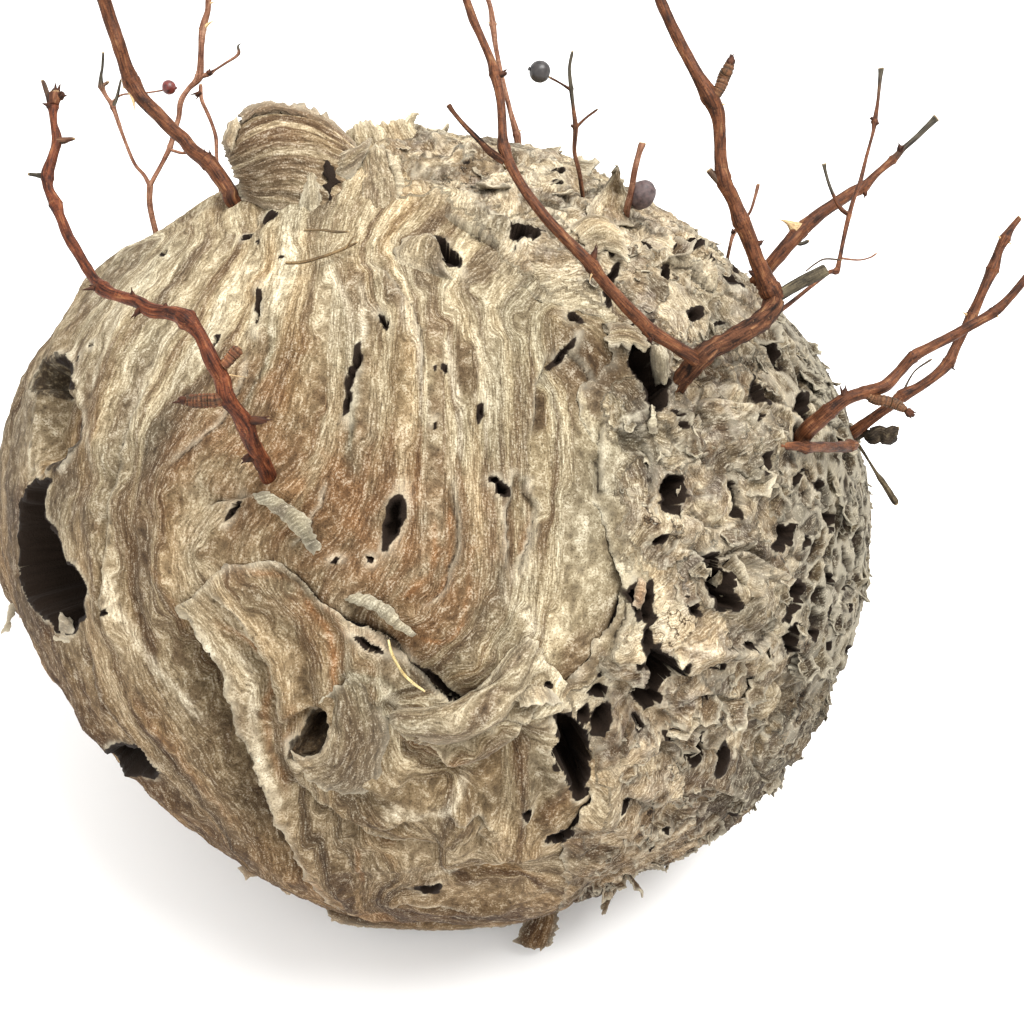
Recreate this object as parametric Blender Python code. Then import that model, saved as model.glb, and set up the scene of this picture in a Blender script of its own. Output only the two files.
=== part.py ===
# Hornet nest: a lumpy paper ball, still on the cut twigs of the shrub that it was built around.
# It lies on its flattened underside. Sizes are in millimetres, and MM turns them into metres.
# Origin: on the floor, in the middle under the nest. +X is right, +Y is back and +Z is up.
import bpy
import bmesh
from math import ceil, cos, exp, pi, radians, sin, tan
from mathutils import Matrix, Vector

MM = 0.001
GAP = 0.3  # clearance between two pieces that touch

# The paper ball
NEST_SEMI_AXES = (146.0, 141.0, 136.0)
NEST_CENTRE_HEIGHT = 128.0
NEST_DIVISIONS = 18  # facets along a sixth of the ball
# swellings and dents: azimuth and elevation of the middle, reach in degrees, height
SWELLINGS = (
    (136.5, 43.3, 22.0, -13.0),
    (93.0, 48.0, 20.0, -6.0),
    (34.8, 38.7, 24.0, -14.0),
    (-5.4, -5.9, 22.0, 5.0),
    (-27.6, -27.2, 24.0, 9.0),
    (-83.2, -42.8, 30.0, 7.0),
    (-148.9, -29.8, 16.0, -5.0),
    (-176.0, -4.5, 12.0, 5.0),
    (166.3, 14.7, 14.0, 3.0),
)
# the hood of paper that stands up at the crown: centre, semi-axes, lean about X in degrees
HOOD = ((-38.0, -2.0, 256.0), (19.0, 8.0, 22.0), -20.0)
# hollows in the paper: name, centre, semi-axes, lean about X in degrees, rings and sides
HOLLOWS = (
    ("entrance_hollow", (-98.0, -66.0, 166.0), (48.0, 30.0, 27.0), 0.0, 12, 18),
    ("upper_left_hollow", (-98.0, -58.0, 213.0), (18.0, 17.0, 12.0), 20.0, 8, 12),
    ("crown_slot", (62.0, -65.0, 235.0), (4.0, 13.0, 10.0), 33.0, 6, 8),
    ("right_pit", (81.0, -100.0, 190.0), (5.0, 9.0, 8.0), 0.0, 6, 8),
    ("middle_pit", (64.0, -120.0, 172.0), (5.0, 10.0, 8.0), 0.0, 6, 8),
    ("lower_pit", (40.0, -133.0, 157.0), (5.0, 9.0, 11.0), 0.0, 6, 8),
    ("tongue_pocket", (-26.0, -135.0, 163.0), (7.0, 9.0, 8.0), 0.0, 6, 8),
    ("crown_slit", (9.0, -43.0, 258.0), (3.0, 7.0, 7.0), 0.0, 6, 8),
)

# Barks, berries and straw: colour and roughness
NEST_PAPER = ("wasp_paper", "B9AA92", 0.9)
FINISHES = {
    "reddish": ("reddish_bark", "6E3628", 0.7),
    "brown": ("brown_bark", "8A5542", 0.7),
    "pale": ("pale_bark", "9A7A66", 0.8),
    "dark": ("dark_bark", "4A3026", 0.8),
    "olive": ("olive_bark", "4F473A", 0.75),
    "leaf": ("dry_leaf", "6E6152", 0.85),
    "straw": ("straw", "C9A646", 0.7),
    "red_berry": ("red_berry_skin", "4A1416", 0.4),
    "black_berry": ("black_berry_skin", "1E1A1E", 0.35),
    "grey_berry": ("grey_berry_skin", "6B5F66", 0.5),
}

# Twigs: route, diameter at its start and end, sides, finish, what the start is cut clear of
TWIGS = {
    "gnarled_twig": (
        ((-38, -75, 187), (-38, -93, 216), (-39, -103, 238), (-43, -104, 251), (-46, -100, 262),
         (-52, -94, 269), (-62, -89, 269), (-74, -80, 269), (-82, -70, 271), (-92, -54, 278),
         (-94, -43, 283), (-94, -33, 289), (-95, -26, 294)),
        (4.2, 2.4), 8, "reddish", ()),
    "gnarled_spur_left": (
        ((-42, -104, 250), (-47, -105, 252), (-54, -105, 253.5)),
        (2.8, 3.0), 8, "reddish", ("gnarled_twig",)),
    "gnarled_spur_right": (
        ((-44.5, -102.5, 257.5), (-42, -101, 261), (-40, -99, 264.5)),
        (2.6, 2.8), 8, "reddish", ("gnarled_twig",)),
    "tall_left_cane": (
        ((-50, -4, 235), (-56, -5, 251), (-63, 2, 259), (-73, 8, 264), (-83, 16, 272),
         (-87, 19, 276), (-90, 25, 290), (-93, 29, 297), (-95, 32, 305)),
        (4.2, 4.4), 8, "brown", ()),
    "back_left_stem": (
        ((-89, 25, 200), (-92, 33, 215), (-93, 38, 225), (-93, 43, 233)),
        (2.9, 2.6), 8, "pale", ()),
    "back_left_arm": (
        ((-93, 42, 231), (-97, 45, 235), (-101, 50, 242), (-106, 57, 251), (-109, 60, 256),
         (-107, 66, 265)),
        (2.0, 1.5), 6, "pale", ("back_left_stem",)),
    "back_right_arm": (
        ((-93, 42, 231), (-89, 48, 235), (-87, 53, 239), (-84, 61, 247), (-78, 70, 255),
         (-77, 77, 264), (-74, 84, 275), (-72, 87, 280)),
        (2.0, 1.5), 6, "pale", ("back_left_stem", "back_left_arm")),
    "hooked_side_twig": (
        ((-78, 70, 255), (-71, 72, 256), (-66, 76, 259), (-65, 78, 261)),
        (1.3, 1.0), 6, "pale", ("back_right_arm",)),
    "back_thin_stem": (
        ((-80, 31, 207), (-71, 43, 226), (-73, 50, 235), (-74, 59, 243), (-78.5, 69, 254)),
        (1.4, 1.3), 6, "pale", ("back_right_arm", "hooked_side_twig")),
    "red_berry_stalk": (
        ((-106, 57, 251), (-101, 58, 254), (-94, 58, 255), (-86, 59, 256)),
        (1.0, 0.9), 6, "pale", ("back_left_arm",)),
    "crown_stub": (
        ((73, -42, 201), (73, -63, 226), (78, -66, 237), (90, -58, 240), (98, -48, 242),
         (101, -43, 244)),
        (5.4, 5.6), 8, "dark", ()),
    "centre_cane": (
        ((77, -66, 237), (70, -67, 243), (64, -68, 247), (54, -66, 258), (44, -63, 267),
         (33, -56, 278), (26, -50, 285), (24, -44, 290), (23, -33, 300), (20, -25, 305),
         (14, -13, 314), (12, -7, 319)),
        (3.6, 2.2), 8, "brown", ("crown_stub",)),
    "centre_dead_twig": (
        ((24.5, -47, 287.5), (20, -46, 289), (14, -41, 293), (10, -37, 297)),
        (1.8, 1.6), 6, "dark", ("centre_cane",)),
    "tall_right_cane": (
        ((100, -44, 243), (96, -42, 249), (88, -37, 263), (82, -31, 276), (81, -27, 282),
         (78, -21, 292), (69, -12, 304), (66, -7, 312), (64, -3, 318)),
        (4.8, 3.4), 8, "brown", ("crown_stub",)),
    "right_cane_spur": (
        ((79, -22, 291), (81.5, -20, 294), (83, -18.5, 297), (84.5, -16.5, 300)),
        (2.6, 3.2), 8, "brown", ("tall_right_cane",)),
    "cut_stub": (
        ((99, -46, 242), (107, -41, 245), (114, -37, 248)),
        (3.6, 3.6), 8, "olive", ("crown_stub", "tall_right_cane")),
    "thin_right_twig": (
        ((98, -48, 241), (110, -33, 238), (121, -21, 236), (124, -11, 238), (130, 7, 246),
         (138, 29, 258), (141, 44, 269)),
        (1.6, 1.2), 6, "brown", ("crown_stub", "cut_stub")),
    "thin_right_side_twig": (
        ((127, -1, 242), (125, 3, 245), (122, 8, 249), (121, 13, 253)),
        (1.1, 0.9), 6, "brown", ("thin_right_twig",)),
    "pale_thin_twig": (
        ((122, -16, 237), (128, -14, 236), (133, -13, 237)),
        (0.9, 0.8), 6, "pale", ("thin_right_twig",)),
    "thorny_branch": (
        ((98, 8, 204), (106, 4, 225), (112, 9, 231), (131, 21, 239), (138, 25, 239),
         (147, 33, 245), (162, 45, 252)),
        (4.4, 2.0), 8, "brown", ()),
    "low_right_cane": (
        ((112, -38, 178), (113, -55, 202), (117, -55, 211), (122, -53, 215), (130, -51, 216),
         (142, -44, 223), (153, -40, 227), (163, -37, 230), (167, -35, 233), (174, -29, 239),
         (179, -25, 244)),
        (5.4, 2.8), 8, "brown", ()),
    "low_right_spur": (
        ((129, -51.5, 216), (134, -54, 214.5), (139.5, -57, 213)),
        (2.6, 2.4), 8, "brown", ("low_right_cane",)),
    "far_right_cane": (
        ((133, -8, 157), (137, -18, 173), (147, -18, 183), (152, -15, 186), (160, -12, 189),
         (168, -7, 194), (176, 6, 205), (182, 16, 214), (184, 21, 220), (191, 28, 226)),
        (3.6, 2.6), 8, "brown", ()),
    "broken_red_twig": (
        ((102, -66, 205.5), (111.5, -60.5, 199.5), (121, -52, 192.5), (130.5, -41.5, 184.5)),
        (2.8, 2.6), 8, "reddish", ()),
    "leaf_shred": (
        ((138, -14, 162), (140.5, -20.5, 168), (144.5, -23.5, 172), (150, -25, 174)),
        (1.6, 1.0), 6, "leaf", ()),
    "leaf_stalk": (
        ((139, -12, 157), (142, -21, 162), (144, -25, 162.5), (146.5, -29, 161.5), (150.5, -35.5, 157)),
        (1.6, 1.2), 6, "leaf", ()),
    "back_cane": (
        ((29, 40, 229), (28, 43, 243), (24, 50, 254), (21, 57, 263), (20, 65, 275),
         (18, 69, 281), (16, 73, 287)),
        (1.9, 1.9), 6, "pale", ()),
    "berry_twig": (
        ((49, -8, 245), (46, -12, 258), (44, -5, 266), (44, 0, 272), (43, 9, 280),
         (42, 13, 284), (44, 16, 288)),
        (1.4, 1.1), 6, "dark", ()),
    "berry_side_twig": (
        ((44, 0, 272), (47, 3, 274), (51, 6, 275)),
        (1.0, 0.8), 6, "dark", ("berry_twig",)),
    "berry_stalk": (
        ((43, 8.5, 279.5), (39, 8.5, 282), (34, 9, 284.5)),
        (0.9, 0.9), 6, "dark", ("berry_twig",)),
    "short_back_twig": (
        ((61, 3, 233), (60, -12, 253), (61, -10, 260), (62, -7, 265), (63, -5, 269)),
        (1.9, 1.9), 6, "dark", ()),
    "far_back_twig": (
        ((98, 34, 196), (98, 30, 213), (104, 36, 222), (107, 42, 230)),
        (1.2, 1.0), 6, "pale", ()),
    "stray_stick": (
        ((-36, -44, 254.5), (-31.5, -45, 255.5), (-27, -45, 256), (-21.5, -43, 257.5),
         (-16.5, -40.5, 259)),
        (1.3, 1.0), 6, "dark", ()),
    "straw_sliver": (
        ((-6, -128, 187.5), (-3.5, -129.5, 185), (-0.5, -131, 181.5), (3, -132.5, 178)),
        (0.9, 0.7), 6, "straw", ()),
}
# twigs that come out of the paper, each from a socket of its own
IN_PAPER = (
    "gnarled_twig", "tall_left_cane", "back_left_stem", "back_thin_stem", "crown_stub",
    "thorny_branch", "low_right_cane", "far_right_cane", "leaf_shred", "leaf_stalk", "back_cane",
    "berry_twig", "short_back_twig", "far_back_twig",
)

# Berries: centre, diameter, finish, the stalk that ends in it
BERRIES = {
    "red_berry": ((-86.0, 59.0, 256.0), 4.8, "red_berry", "red_berry_stalk"),
    "black_berry": ((34.0, 9.0, 284.5), 6.4, "black_berry", "berry_stalk"),
    "grey_berry": ((65.5, -9.5, 254.0), 7.0, "grey_berry", None),
}
TUBE_STEP = 13.0  # longest stretch of a twig between two rings


def remove_objects():
    for obj in list(bpy.data.objects):
        bpy.data.objects.remove(obj, do_unlink=True)


def linear(hex_colour):
    channels = [int(hex_colour[i:i + 2], 16) / 255 for i in (0, 2, 4)]
    return [c / 12.92 if c <= 0.04045 else ((c + 0.055) / 1.055) ** 2.4 for c in channels]


def material(finish):
    name, hex_colour, roughness = finish
    found = bpy.data.materials.get(name)
    if found:
        return found
    made = bpy.data.materials.new(name)
    made.use_nodes = True
    shader = made.node_tree.nodes["Principled BSDF"]
    shader.inputs["Base Color"].default_value = linear(hex_colour) + [1.0]
    shader.inputs["Roughness"].default_value = roughness
    return made


def add_object(name, bm, finish=None):
    """One object at the origin from a bmesh in millimetres. A piece with no finish is a cutter."""
    bmesh.ops.scale(bm, verts=bm.verts, vec=(MM, MM, MM))
    bmesh.ops.recalc_face_normals(bm, faces=bm.faces)
    mesh = bpy.data.meshes.new(name)
    bm.to_mesh(mesh)
    bm.free()
    obj = bpy.data.objects.new(name, mesh)
    bpy.context.scene.collection.objects.link(obj)
    if finish:
        mesh.materials.append(material(finish))
        mesh.shade_smooth()
        mesh.set_sharp_from_angle(angle=radians(50))
    else:
        obj.hide_render = True
        obj.display_type = 'WIRE'
    return obj


def boolean(obj, other, operation='DIFFERENCE'):
    modifier = obj.modifiers.new(other.name, 'BOOLEAN')
    modifier.operation = operation
    modifier.solver = 'EXACT'
    modifier.object = other


# ---- twigs ----

def catmull_rom(p0, p1, p2, p3, t):
    return 0.5 * (2 * p1 + (p2 - p0) * t + (2 * p0 - 5 * p1 + 4 * p2 - p3) * t ** 2
                  + (3 * p1 - p0 - 3 * p2 + p3) * t ** 3)


def smooth_route(points):
    """Points along a smooth curve through the route's own points."""
    route = [Vector(p) for p in points]
    padded = [2 * route[0] - route[1]] + route + [2 * route[-1] - route[-2]]
    curve = [route[0]]
    for i in range(len(route) - 1):
        steps = ceil((route[i + 1] - route[i]).length / TUBE_STEP)
        curve += [catmull_rom(*padded[i:i + 4], (s + 1) / steps) for s in range(steps)]
    return curve


def ring_frames(curve):
    """Two axes across the curve at each of its points, which don't twist along it."""
    across = Vector((0, 0, 1)).cross(curve[1] - curve[0])
    if across.length < 0.01:
        across = Vector((1, 0, 0))
    frames = []
    for i in range(len(curve)):
        ahead = (curve[min(i + 1, len(curve) - 1)] - curve[max(i - 1, 0)]).normalized()
        across = (across - ahead * across.dot(ahead)).normalized()
        frames.append((across.copy(), ahead.cross(across)))
    return frames


def tube(points, diameters, sides, fatter=0.0):
    """A tapered round tube with flat ends. A fatter one also starts and ends further out."""
    curve = smooth_route(points)
    if fatter:
        curve[0] = curve[0] + (curve[0] - curve[1]).normalized() * fatter
        curve[-1] = curve[-1] + (curve[-1] - curve[-2]).normalized() * fatter
    bm = bmesh.new()
    rings = []
    for i, (centre, (u, v)) in enumerate(zip(curve, ring_frames(curve))):
        share = i / (len(curve) - 1)
        radius = (diameters[0] * (1 - share) + diameters[1] * share) / 2 + fatter
        angles = [2 * pi * k / sides for k in range(sides)]
        rings.append([bm.verts.new(centre + radius * (cos(a) * u + sin(a) * v)) for a in angles])
    for low, high in zip(rings, rings[1:]):
        for k in range(sides):
            n = (k + 1) % sides
            bm.faces.new((low[k], low[n], high[n], high[k]))
    bm.faces.new(rings[0][::-1])
    bm.faces.new(rings[-1])
    return bm


def twig_clearance(name, user):
    """A cutter that is the named twig with the gap around it."""
    points, diameters, sides, _, _ = TWIGS[name]
    return add_object(f"{user}.clear_of.{name}", tube(points, diameters, sides, GAP))


def make_twigs():
    for name, (points, diameters, sides, finish, clear_of) in TWIGS.items():
        twig = add_object(name, tube(points, diameters, sides), FINISHES[finish])
        for other in clear_of:
            boolean(twig, twig_clearance(other, name))


# ---- berries ----

def ellipsoid(centre, semi_axes, lean=0.0, rings=8, sides=10):
    bm = bmesh.new()
    bmesh.ops.create_uvsphere(bm, u_segments=sides, v_segments=rings, radius=1.0)
    place = Matrix.Translation(centre) @ Matrix.Rotation(radians(lean), 4, 'X')
    bmesh.ops.transform(bm, verts=bm.verts, matrix=place @ Matrix.Diagonal((*semi_axes, 1.0)))
    return bm


def make_berries():
    for name, (centre, diameter, finish, stalk) in BERRIES.items():
        radius = diameter / 2
        add_object(name, ellipsoid(centre, (radius,) * 3), FINISHES[finish])
        if stalk:
            room = add_object(f"{stalk}.clear_of.{name}", ellipsoid(centre, (radius + GAP,) * 3))
            boolean(bpy.data.objects[stalk], room)


# ---- nest ----

def swelling(direction):
    """How far the ball stands out of its plain ellipsoid in this direction."""
    height = 0.0
    for azimuth, elevation, reach, peak in SWELLINGS:
        a, e = radians(azimuth), radians(elevation)
        middle = Vector((cos(e) * cos(a), cos(e) * sin(a), sin(e)))
        height += peak * exp(-(direction.angle(middle) / radians(reach)) ** 2)
    return height


def nest_ball():
    """The lumpy ball, from a cube whose grid is blown up, flat where it rests on the floor."""
    bm = bmesh.new()
    bmesh.ops.create_cube(bm, size=2.0)
    bmesh.ops.subdivide_edges(bm, edges=bm.edges, cuts=NEST_DIVISIONS - 1, use_grid_fill=True)
    for vert in bm.verts:
        direction = Vector([tan(c * pi / 4) for c in vert.co]).normalized()
        stretched = Vector([d / s for d, s in zip(direction, NEST_SEMI_AXES)])
        point = direction * (1 / stretched.length + swelling(direction))
        vert.co = (point.x, point.y, max(point.z + NEST_CENTRE_HEIGHT, 0.0))
    return bm


def make_nest():
    nest = add_object("nest", nest_ball(), NEST_PAPER)
    centre, semi_axes, lean = HOOD
    boolean(nest, add_object("nest.hood", ellipsoid(centre, semi_axes, lean, 8, 12)), 'UNION')
    for name, centre, semi_axes, lean, rings, sides in HOLLOWS:
        boolean(nest, add_object(name, ellipsoid(centre, semi_axes, lean, rings, sides)))
    for name in IN_PAPER:
        boolean(nest, twig_clearance(name, "nest"))


remove_objects()
make_twigs()
make_berries()
make_nest()
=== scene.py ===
import bpy
import numpy as np
from math import cos, pi, radians, sin
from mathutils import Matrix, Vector, kdtree


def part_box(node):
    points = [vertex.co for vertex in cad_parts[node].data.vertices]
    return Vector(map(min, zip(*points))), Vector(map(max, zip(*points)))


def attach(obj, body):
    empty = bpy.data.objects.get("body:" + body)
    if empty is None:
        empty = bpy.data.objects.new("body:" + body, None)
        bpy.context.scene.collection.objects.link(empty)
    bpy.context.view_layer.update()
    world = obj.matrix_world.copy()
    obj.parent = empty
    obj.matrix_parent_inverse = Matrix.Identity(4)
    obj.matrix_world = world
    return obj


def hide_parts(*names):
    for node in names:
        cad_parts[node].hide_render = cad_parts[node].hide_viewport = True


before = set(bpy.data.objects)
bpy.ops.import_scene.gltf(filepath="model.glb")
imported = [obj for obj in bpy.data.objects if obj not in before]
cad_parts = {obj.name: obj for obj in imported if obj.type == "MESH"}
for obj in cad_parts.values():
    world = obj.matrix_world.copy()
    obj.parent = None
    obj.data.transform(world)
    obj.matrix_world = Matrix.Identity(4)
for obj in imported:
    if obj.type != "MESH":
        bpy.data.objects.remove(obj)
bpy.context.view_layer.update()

# Everything is worked out in millimetres and turned to metres in the meshes.
mm = 0.001
scene = bpy.context.scene

photo = {
    "size": 1024,             # pixels a side
    "elevation": 42.0,        # degrees that the camera looks down
    "lens": 50.0,
    "sensor": 36.0,
    "distance": 506.0,        # from the camera to the aim
    "aimRight": 26.0,         # aim from the middle of the nest, along the picture's right
    "aimUp": -4.0,
}
ball = {
    "centre": (0.0, 0.0, 128.0),
    "semiAxes": (146.0, 141.0, 136.0),
    "chartSize": 140.0,       # radius of the ball that the paper's charts are drawn on
    # swellings and dents: azimuth, elevation, reach in degrees, height
    "swellings": (
        (136.5, 43.3, 22.0, -13.0), (93.0, 48.0, 20.0, -6.0), (34.8, 38.7, 24.0, -14.0),
        (-5.4, -5.9, 22.0, 5.0), (-27.6, -27.2, 24.0, 9.0), (-83.2, -42.8, 30.0, 7.0),
        (-148.9, -29.8, 16.0, -5.0), (-176.0, -4.5, 12.0, 5.0), (166.3, 14.7, 14.0, 3.0),
    ),
    # where the paper's own relief starts lower than that
    "sunk": ((82.0, 48.0, 22.0, -6.0), (36.0, 34.0, 20.0, -3.0), (143.0, 33.0, 20.0, -4.0),
             (180.0, -4.0, 20.0, 6.0), (70.0, 61.0, 11.0, -7.0), (77.0, 62.0, 13.0, -4.5),
             (39.0, 51.0, 14.0, -4.5)),
    "sunkAll": -1.6,
}
fineness = 1.0

# the camera's axes and place
tilt = radians(photo["elevation"])
pictureRight = np.array([1.0, 0.0, 0.0])
pictureUp = np.array([0.0, sin(tilt), cos(tilt)])
toCamera = np.array([0.0, -cos(tilt), sin(tilt)])
ballCentre = np.array(ball["centre"])
aimPoint = ballCentre + photo["aimRight"] * pictureRight + photo["aimUp"] * pictureUp
cameraPoint = aimPoint + photo["distance"] * toCamera
focal = photo["lens"] / photo["sensor"] * photo["size"]     # in pixels


def addCamera():
    data = bpy.data.cameras.new("camera")
    data.lens = photo["lens"]
    data.sensor_width = photo["sensor"]
    data.clip_start = 0.01
    camera = bpy.data.objects.new("camera", data)
    camera.location = cameraPoint * mm
    camera.rotation_euler = (pi / 2 - tilt, 0.0, 0.0)
    scene.collection.objects.link(camera)
    scene.camera = camera


# Linear light of a colour written as in a web page
def linear(hexColour):
    channels = [int(hexColour[i:i + 2], 16) / 255 for i in (0, 2, 4)]
    return [c / 12.92 if c <= 0.04045 else ((c + 0.055) / 1.055) ** 2.4 for c in channels] + [1.0]


studio = {
    "floorColour": "FBFAF8",
    "floorSide": 8.0,          # metres
    "skyStrength": 1.4,
    "keyPower": 25.0, "keySize": 0.8, "keyFrom": (0.42, -0.2, 1.3),
    "fillPower": 3.6, "fillSize": 1.2, "fillFrom": (-0.9, -0.9, 0.7),
}


def addLight(name, power, size, place, aim=(0.0, 0.0, 0.13)):
    data = bpy.data.lights.new(name, 'AREA')
    data.energy = power
    data.shape = 'DISK'
    data.size = size
    light = bpy.data.objects.new(name, data)
    light.location = place
    light.rotation_euler = (Vector(aim) - Vector(place)).to_track_quat('-Z', 'Y').to_euler()
    scene.collection.objects.link(light)


def addStudio():
    side = studio["floorSide"] / 2
    mesh = bpy.data.meshes.new("floor")
    corners = [(-side, -side, 0), (side, -side, 0), (side, side, 0), (-side, side, 0)]
    mesh.from_pydata(corners, [], [(0, 1, 2, 3)])
    floor = bpy.data.objects.new("floor", mesh)
    scene.collection.objects.link(floor)
    paint = bpy.data.materials.new("matt white board")
    paint.use_nodes = True
    shader = paint.node_tree.nodes["Principled BSDF"]
    shader.inputs["Base Color"].default_value = linear(studio["floorColour"])
    shader.inputs["Roughness"].default_value = 0.9
    mesh.materials.append(paint)
    world = bpy.data.worlds.new("white studio")
    world.use_nodes = True
    world.node_tree.nodes["Background"].inputs["Color"].default_value = (1.0, 1.0, 1.0, 1.0)
    world.node_tree.nodes["Background"].inputs["Strength"].default_value = studio["skyStrength"]
    scene.world = world
    addLight("key", studio["keyPower"], studio["keySize"], studio["keyFrom"])
    addLight("fill", studio["fillPower"], studio["fillSize"], studio["fillFrom"])
    scene.view_settings.view_transform = 'Standard'


addCamera()
addStudio()
print("stage: camera, floor and light")


# Vectors made 1 long
def unit(vectors, least=0.0):
    return vectors / np.maximum(np.linalg.norm(vectors, axis=-1, keepdims=True), least)


# How far the nest reaches from its middle in each direction, before the paper's own relief
def ballRadius(directions):
    reach = 1 / np.linalg.norm(directions / np.array(ball["semiAxes"]), axis=1) + ball["sunkAll"]
    for azimuth, elevation, width, height in ball["swellings"] + ball["sunk"]:
        a, e = radians(azimuth), radians(elevation)
        middle = np.array([cos(e) * cos(a), cos(e) * sin(a), sin(e)])
        angle = np.degrees(np.arccos(np.clip(directions @ middle, -1, 1)))
        reach += height * np.exp(-(angle / width) ** 2)
    return reach


# Directions from the middle of the ball for points of an equal-area chart about an axis
def directionsAt(chart, axis):
    reach = np.linalg.norm(chart, axis=1)
    half = np.clip(reach / (2 * ball["chartSize"]), 0, 1)
    along = 1 - 2 * half ** 2
    across = 2 * half * np.sqrt(1 - half ** 2) / np.maximum(reach, 1e-9)
    rightAxis = pictureRight if axis is toCamera else -pictureRight
    return (along[:, None] * axis + (across * chart[:, 0])[:, None] * rightAxis
            + (across * chart[:, 1])[:, None] * pictureUp)


# The same for the front chart, the other way round
def chartAt(directions):
    along = directions @ toCamera
    reach = 2 * ball["chartSize"] * np.sqrt(np.clip((1 - along) / 2, 0, 1))
    x, y = directions @ pictureRight, directions @ pictureUp
    length = np.maximum(np.hypot(x, y), 1e-9)
    return np.stack([reach * x / length, reach * y / length], 1)


# Chart points of pixels of the photograph, through the ray of each onto the ball
def fromPhoto(pixels):
    pixels = np.array(pixels, float)
    half = photo["size"] / 2
    rays = ((pixels[:, :1] - half) * pictureRight - (pixels[:, 1:] - half) * pictureUp) / focal - toCamera
    depths = np.arange(300.0, 720.0, 0.5)
    found = []
    for ray in rays:
        offsets = cameraPoint + ray * depths[:, None] - ballCentre
        far = np.linalg.norm(offsets, axis=1)
        over = far - ballRadius(offsets / far[:, None])
        hits = np.nonzero(over <= 0)[0]
        nearest = hits[0] if len(hits) else int(over.argmin())
        direction = offsets[nearest] / far[nearest]
        if not len(hits):     # past the outline: round the edge by as much as the ray misses
            direction = direction - toCamera * over[nearest] / 60.0
            direction /= np.linalg.norm(direction)
        found.append(direction)
    return chartAt(np.array(found))


# Smooth random values in space, from a fixed table
class Noise:

    def __init__(self, seed):
        self.table = np.random.default_rng(seed).uniform(-1, 1, (32, 32, 32))

    def plain(self, points):
        cell = np.floor(points).astype(int)
        f = points - cell
        f = f * f * (3 - 2 * f)
        total = np.zeros(len(points))
        for dx in (0, 1):
            for dy in (0, 1):
                for dz in (0, 1):
                    x, y, z = (cell + (dx, dy, dz)).T & 31
                    corner = self.table[x, y, z]
                    share = ((f[:, 0] if dx else 1 - f[:, 0]) * (f[:, 1] if dy else 1 - f[:, 1])
                             * (f[:, 2] if dz else 1 - f[:, 2]))
                    total += corner * share
        return total

    def at(self, points, size, octaves=1):
        total, weight = np.zeros(len(points)), 1.0
        for octave in range(octaves):
            total += weight * self.plain(points / size * 2 ** octave + 7.3 * octave)
            weight *= 0.5
        return total


# A soft step: 0 at low, 1 at high
def smooth(low, high, value):
    t = np.clip((value - low) / (high - low), 0, 1)
    return t * t * (3 - 2 * t)


# Distance to a path, the side (positive on the left of its direction), and how far along, 0 to 1
def toPath(points, path):
    best = np.full(len(points), 1e9)
    side = np.zeros(len(points))
    along = np.zeros(len(points))
    lengths = np.linalg.norm(np.diff(path, axis=0), axis=1)
    starts = np.concatenate([[0.0], np.cumsum(lengths)])
    for k, (a, b) in enumerate(zip(path[:-1], path[1:])):
        run = b - a
        t = np.clip(((points - a) @ run) / (run @ run), 0, 1)
        gap = points - (a + t[:, None] * run)
        distance = np.hypot(gap[:, 0], gap[:, 1])
        nearer = distance < best
        best[nearer] = distance[nearer]
        cross = run[0] * (points[:, 1] - a[1]) - run[1] * (points[:, 0] - a[0])
        side[nearer] = np.sign(cross[nearer])
        along[nearer] = (starts[k] + t[nearer] * lengths[k]) / starts[-1]
    return best, side, along


# The points in the box round a path, widened by a reach
def nearPath(points, path, reach):
    return np.nonzero(((points > path.min(0) - reach) & (points < path.max(0) + reach)).all(1))[0]


# From 0 to 1 and back along a path, over a share of its length at each end
def taperEnds(along, past, share):
    return smooth(-past, share, along) * smooth(1 + past, 1 - share, along)


# Whether points lie inside a closed path
def insidePath(points, path):
    inside = np.zeros(len(points), bool)
    for a, b in zip(path, np.roll(path, -1, axis=0)):
        crosses = (a[1] > points[:, 1]) != (b[1] > points[:, 1])
        rise = b[1] - a[1] if b[1] != a[1] else 1e-9
        inside ^= crosses & (points[:, 0] < (b[0] - a[0]) * (points[:, 1] - a[1]) / rise + a[0])
    return inside


# Distance into a closed path, negative outside
def intoPath(points, path):
    distance, side, along = toPath(points, np.vstack([path, path[:1]]))
    return np.where(insidePath(points, path), distance, -distance)


# A smooth curve from b to c, t from 0 to 1, with a and d as its neighbours
def catmull(a, b, c, d, t):
    return 0.5 * (2 * b + (c - a) * t + (2 * a - 5 * b + 4 * c - d) * t ** 2
                  + (3 * b - a - 3 * c + d) * t ** 3)


# A route in pixels, rounded, as a path on the chart
def rounded(route):
    points = np.array(route, float)
    padded = np.vstack([2 * points[0] - points[1], points, 2 * points[-1] - points[-2]])
    made = [points[0]]
    for i in range(len(points) - 1):
        for t in (0.25, 0.5, 0.75, 1.0):
            made.append(catmull(*padded[i:i + 4], t))
    return fromPhoto(made)


# the lower front flap: its left lip, then round under the nest and back along its upper crease
flapOutline = (
    (178, 606), (213, 648), (243, 690), (255, 729), (271, 767), (283, 801), (298, 836), (314, 880),
    (340, 960), (600, 1000),
    (622, 905), (604, 850), (614, 800), (598, 740), (582, 700), (560, 672), (535, 650), (500, 686),
    (465, 705),
    (430, 685), (395, 640), (365, 620), (335, 603), (285, 557), (230, 565),
)
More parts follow.
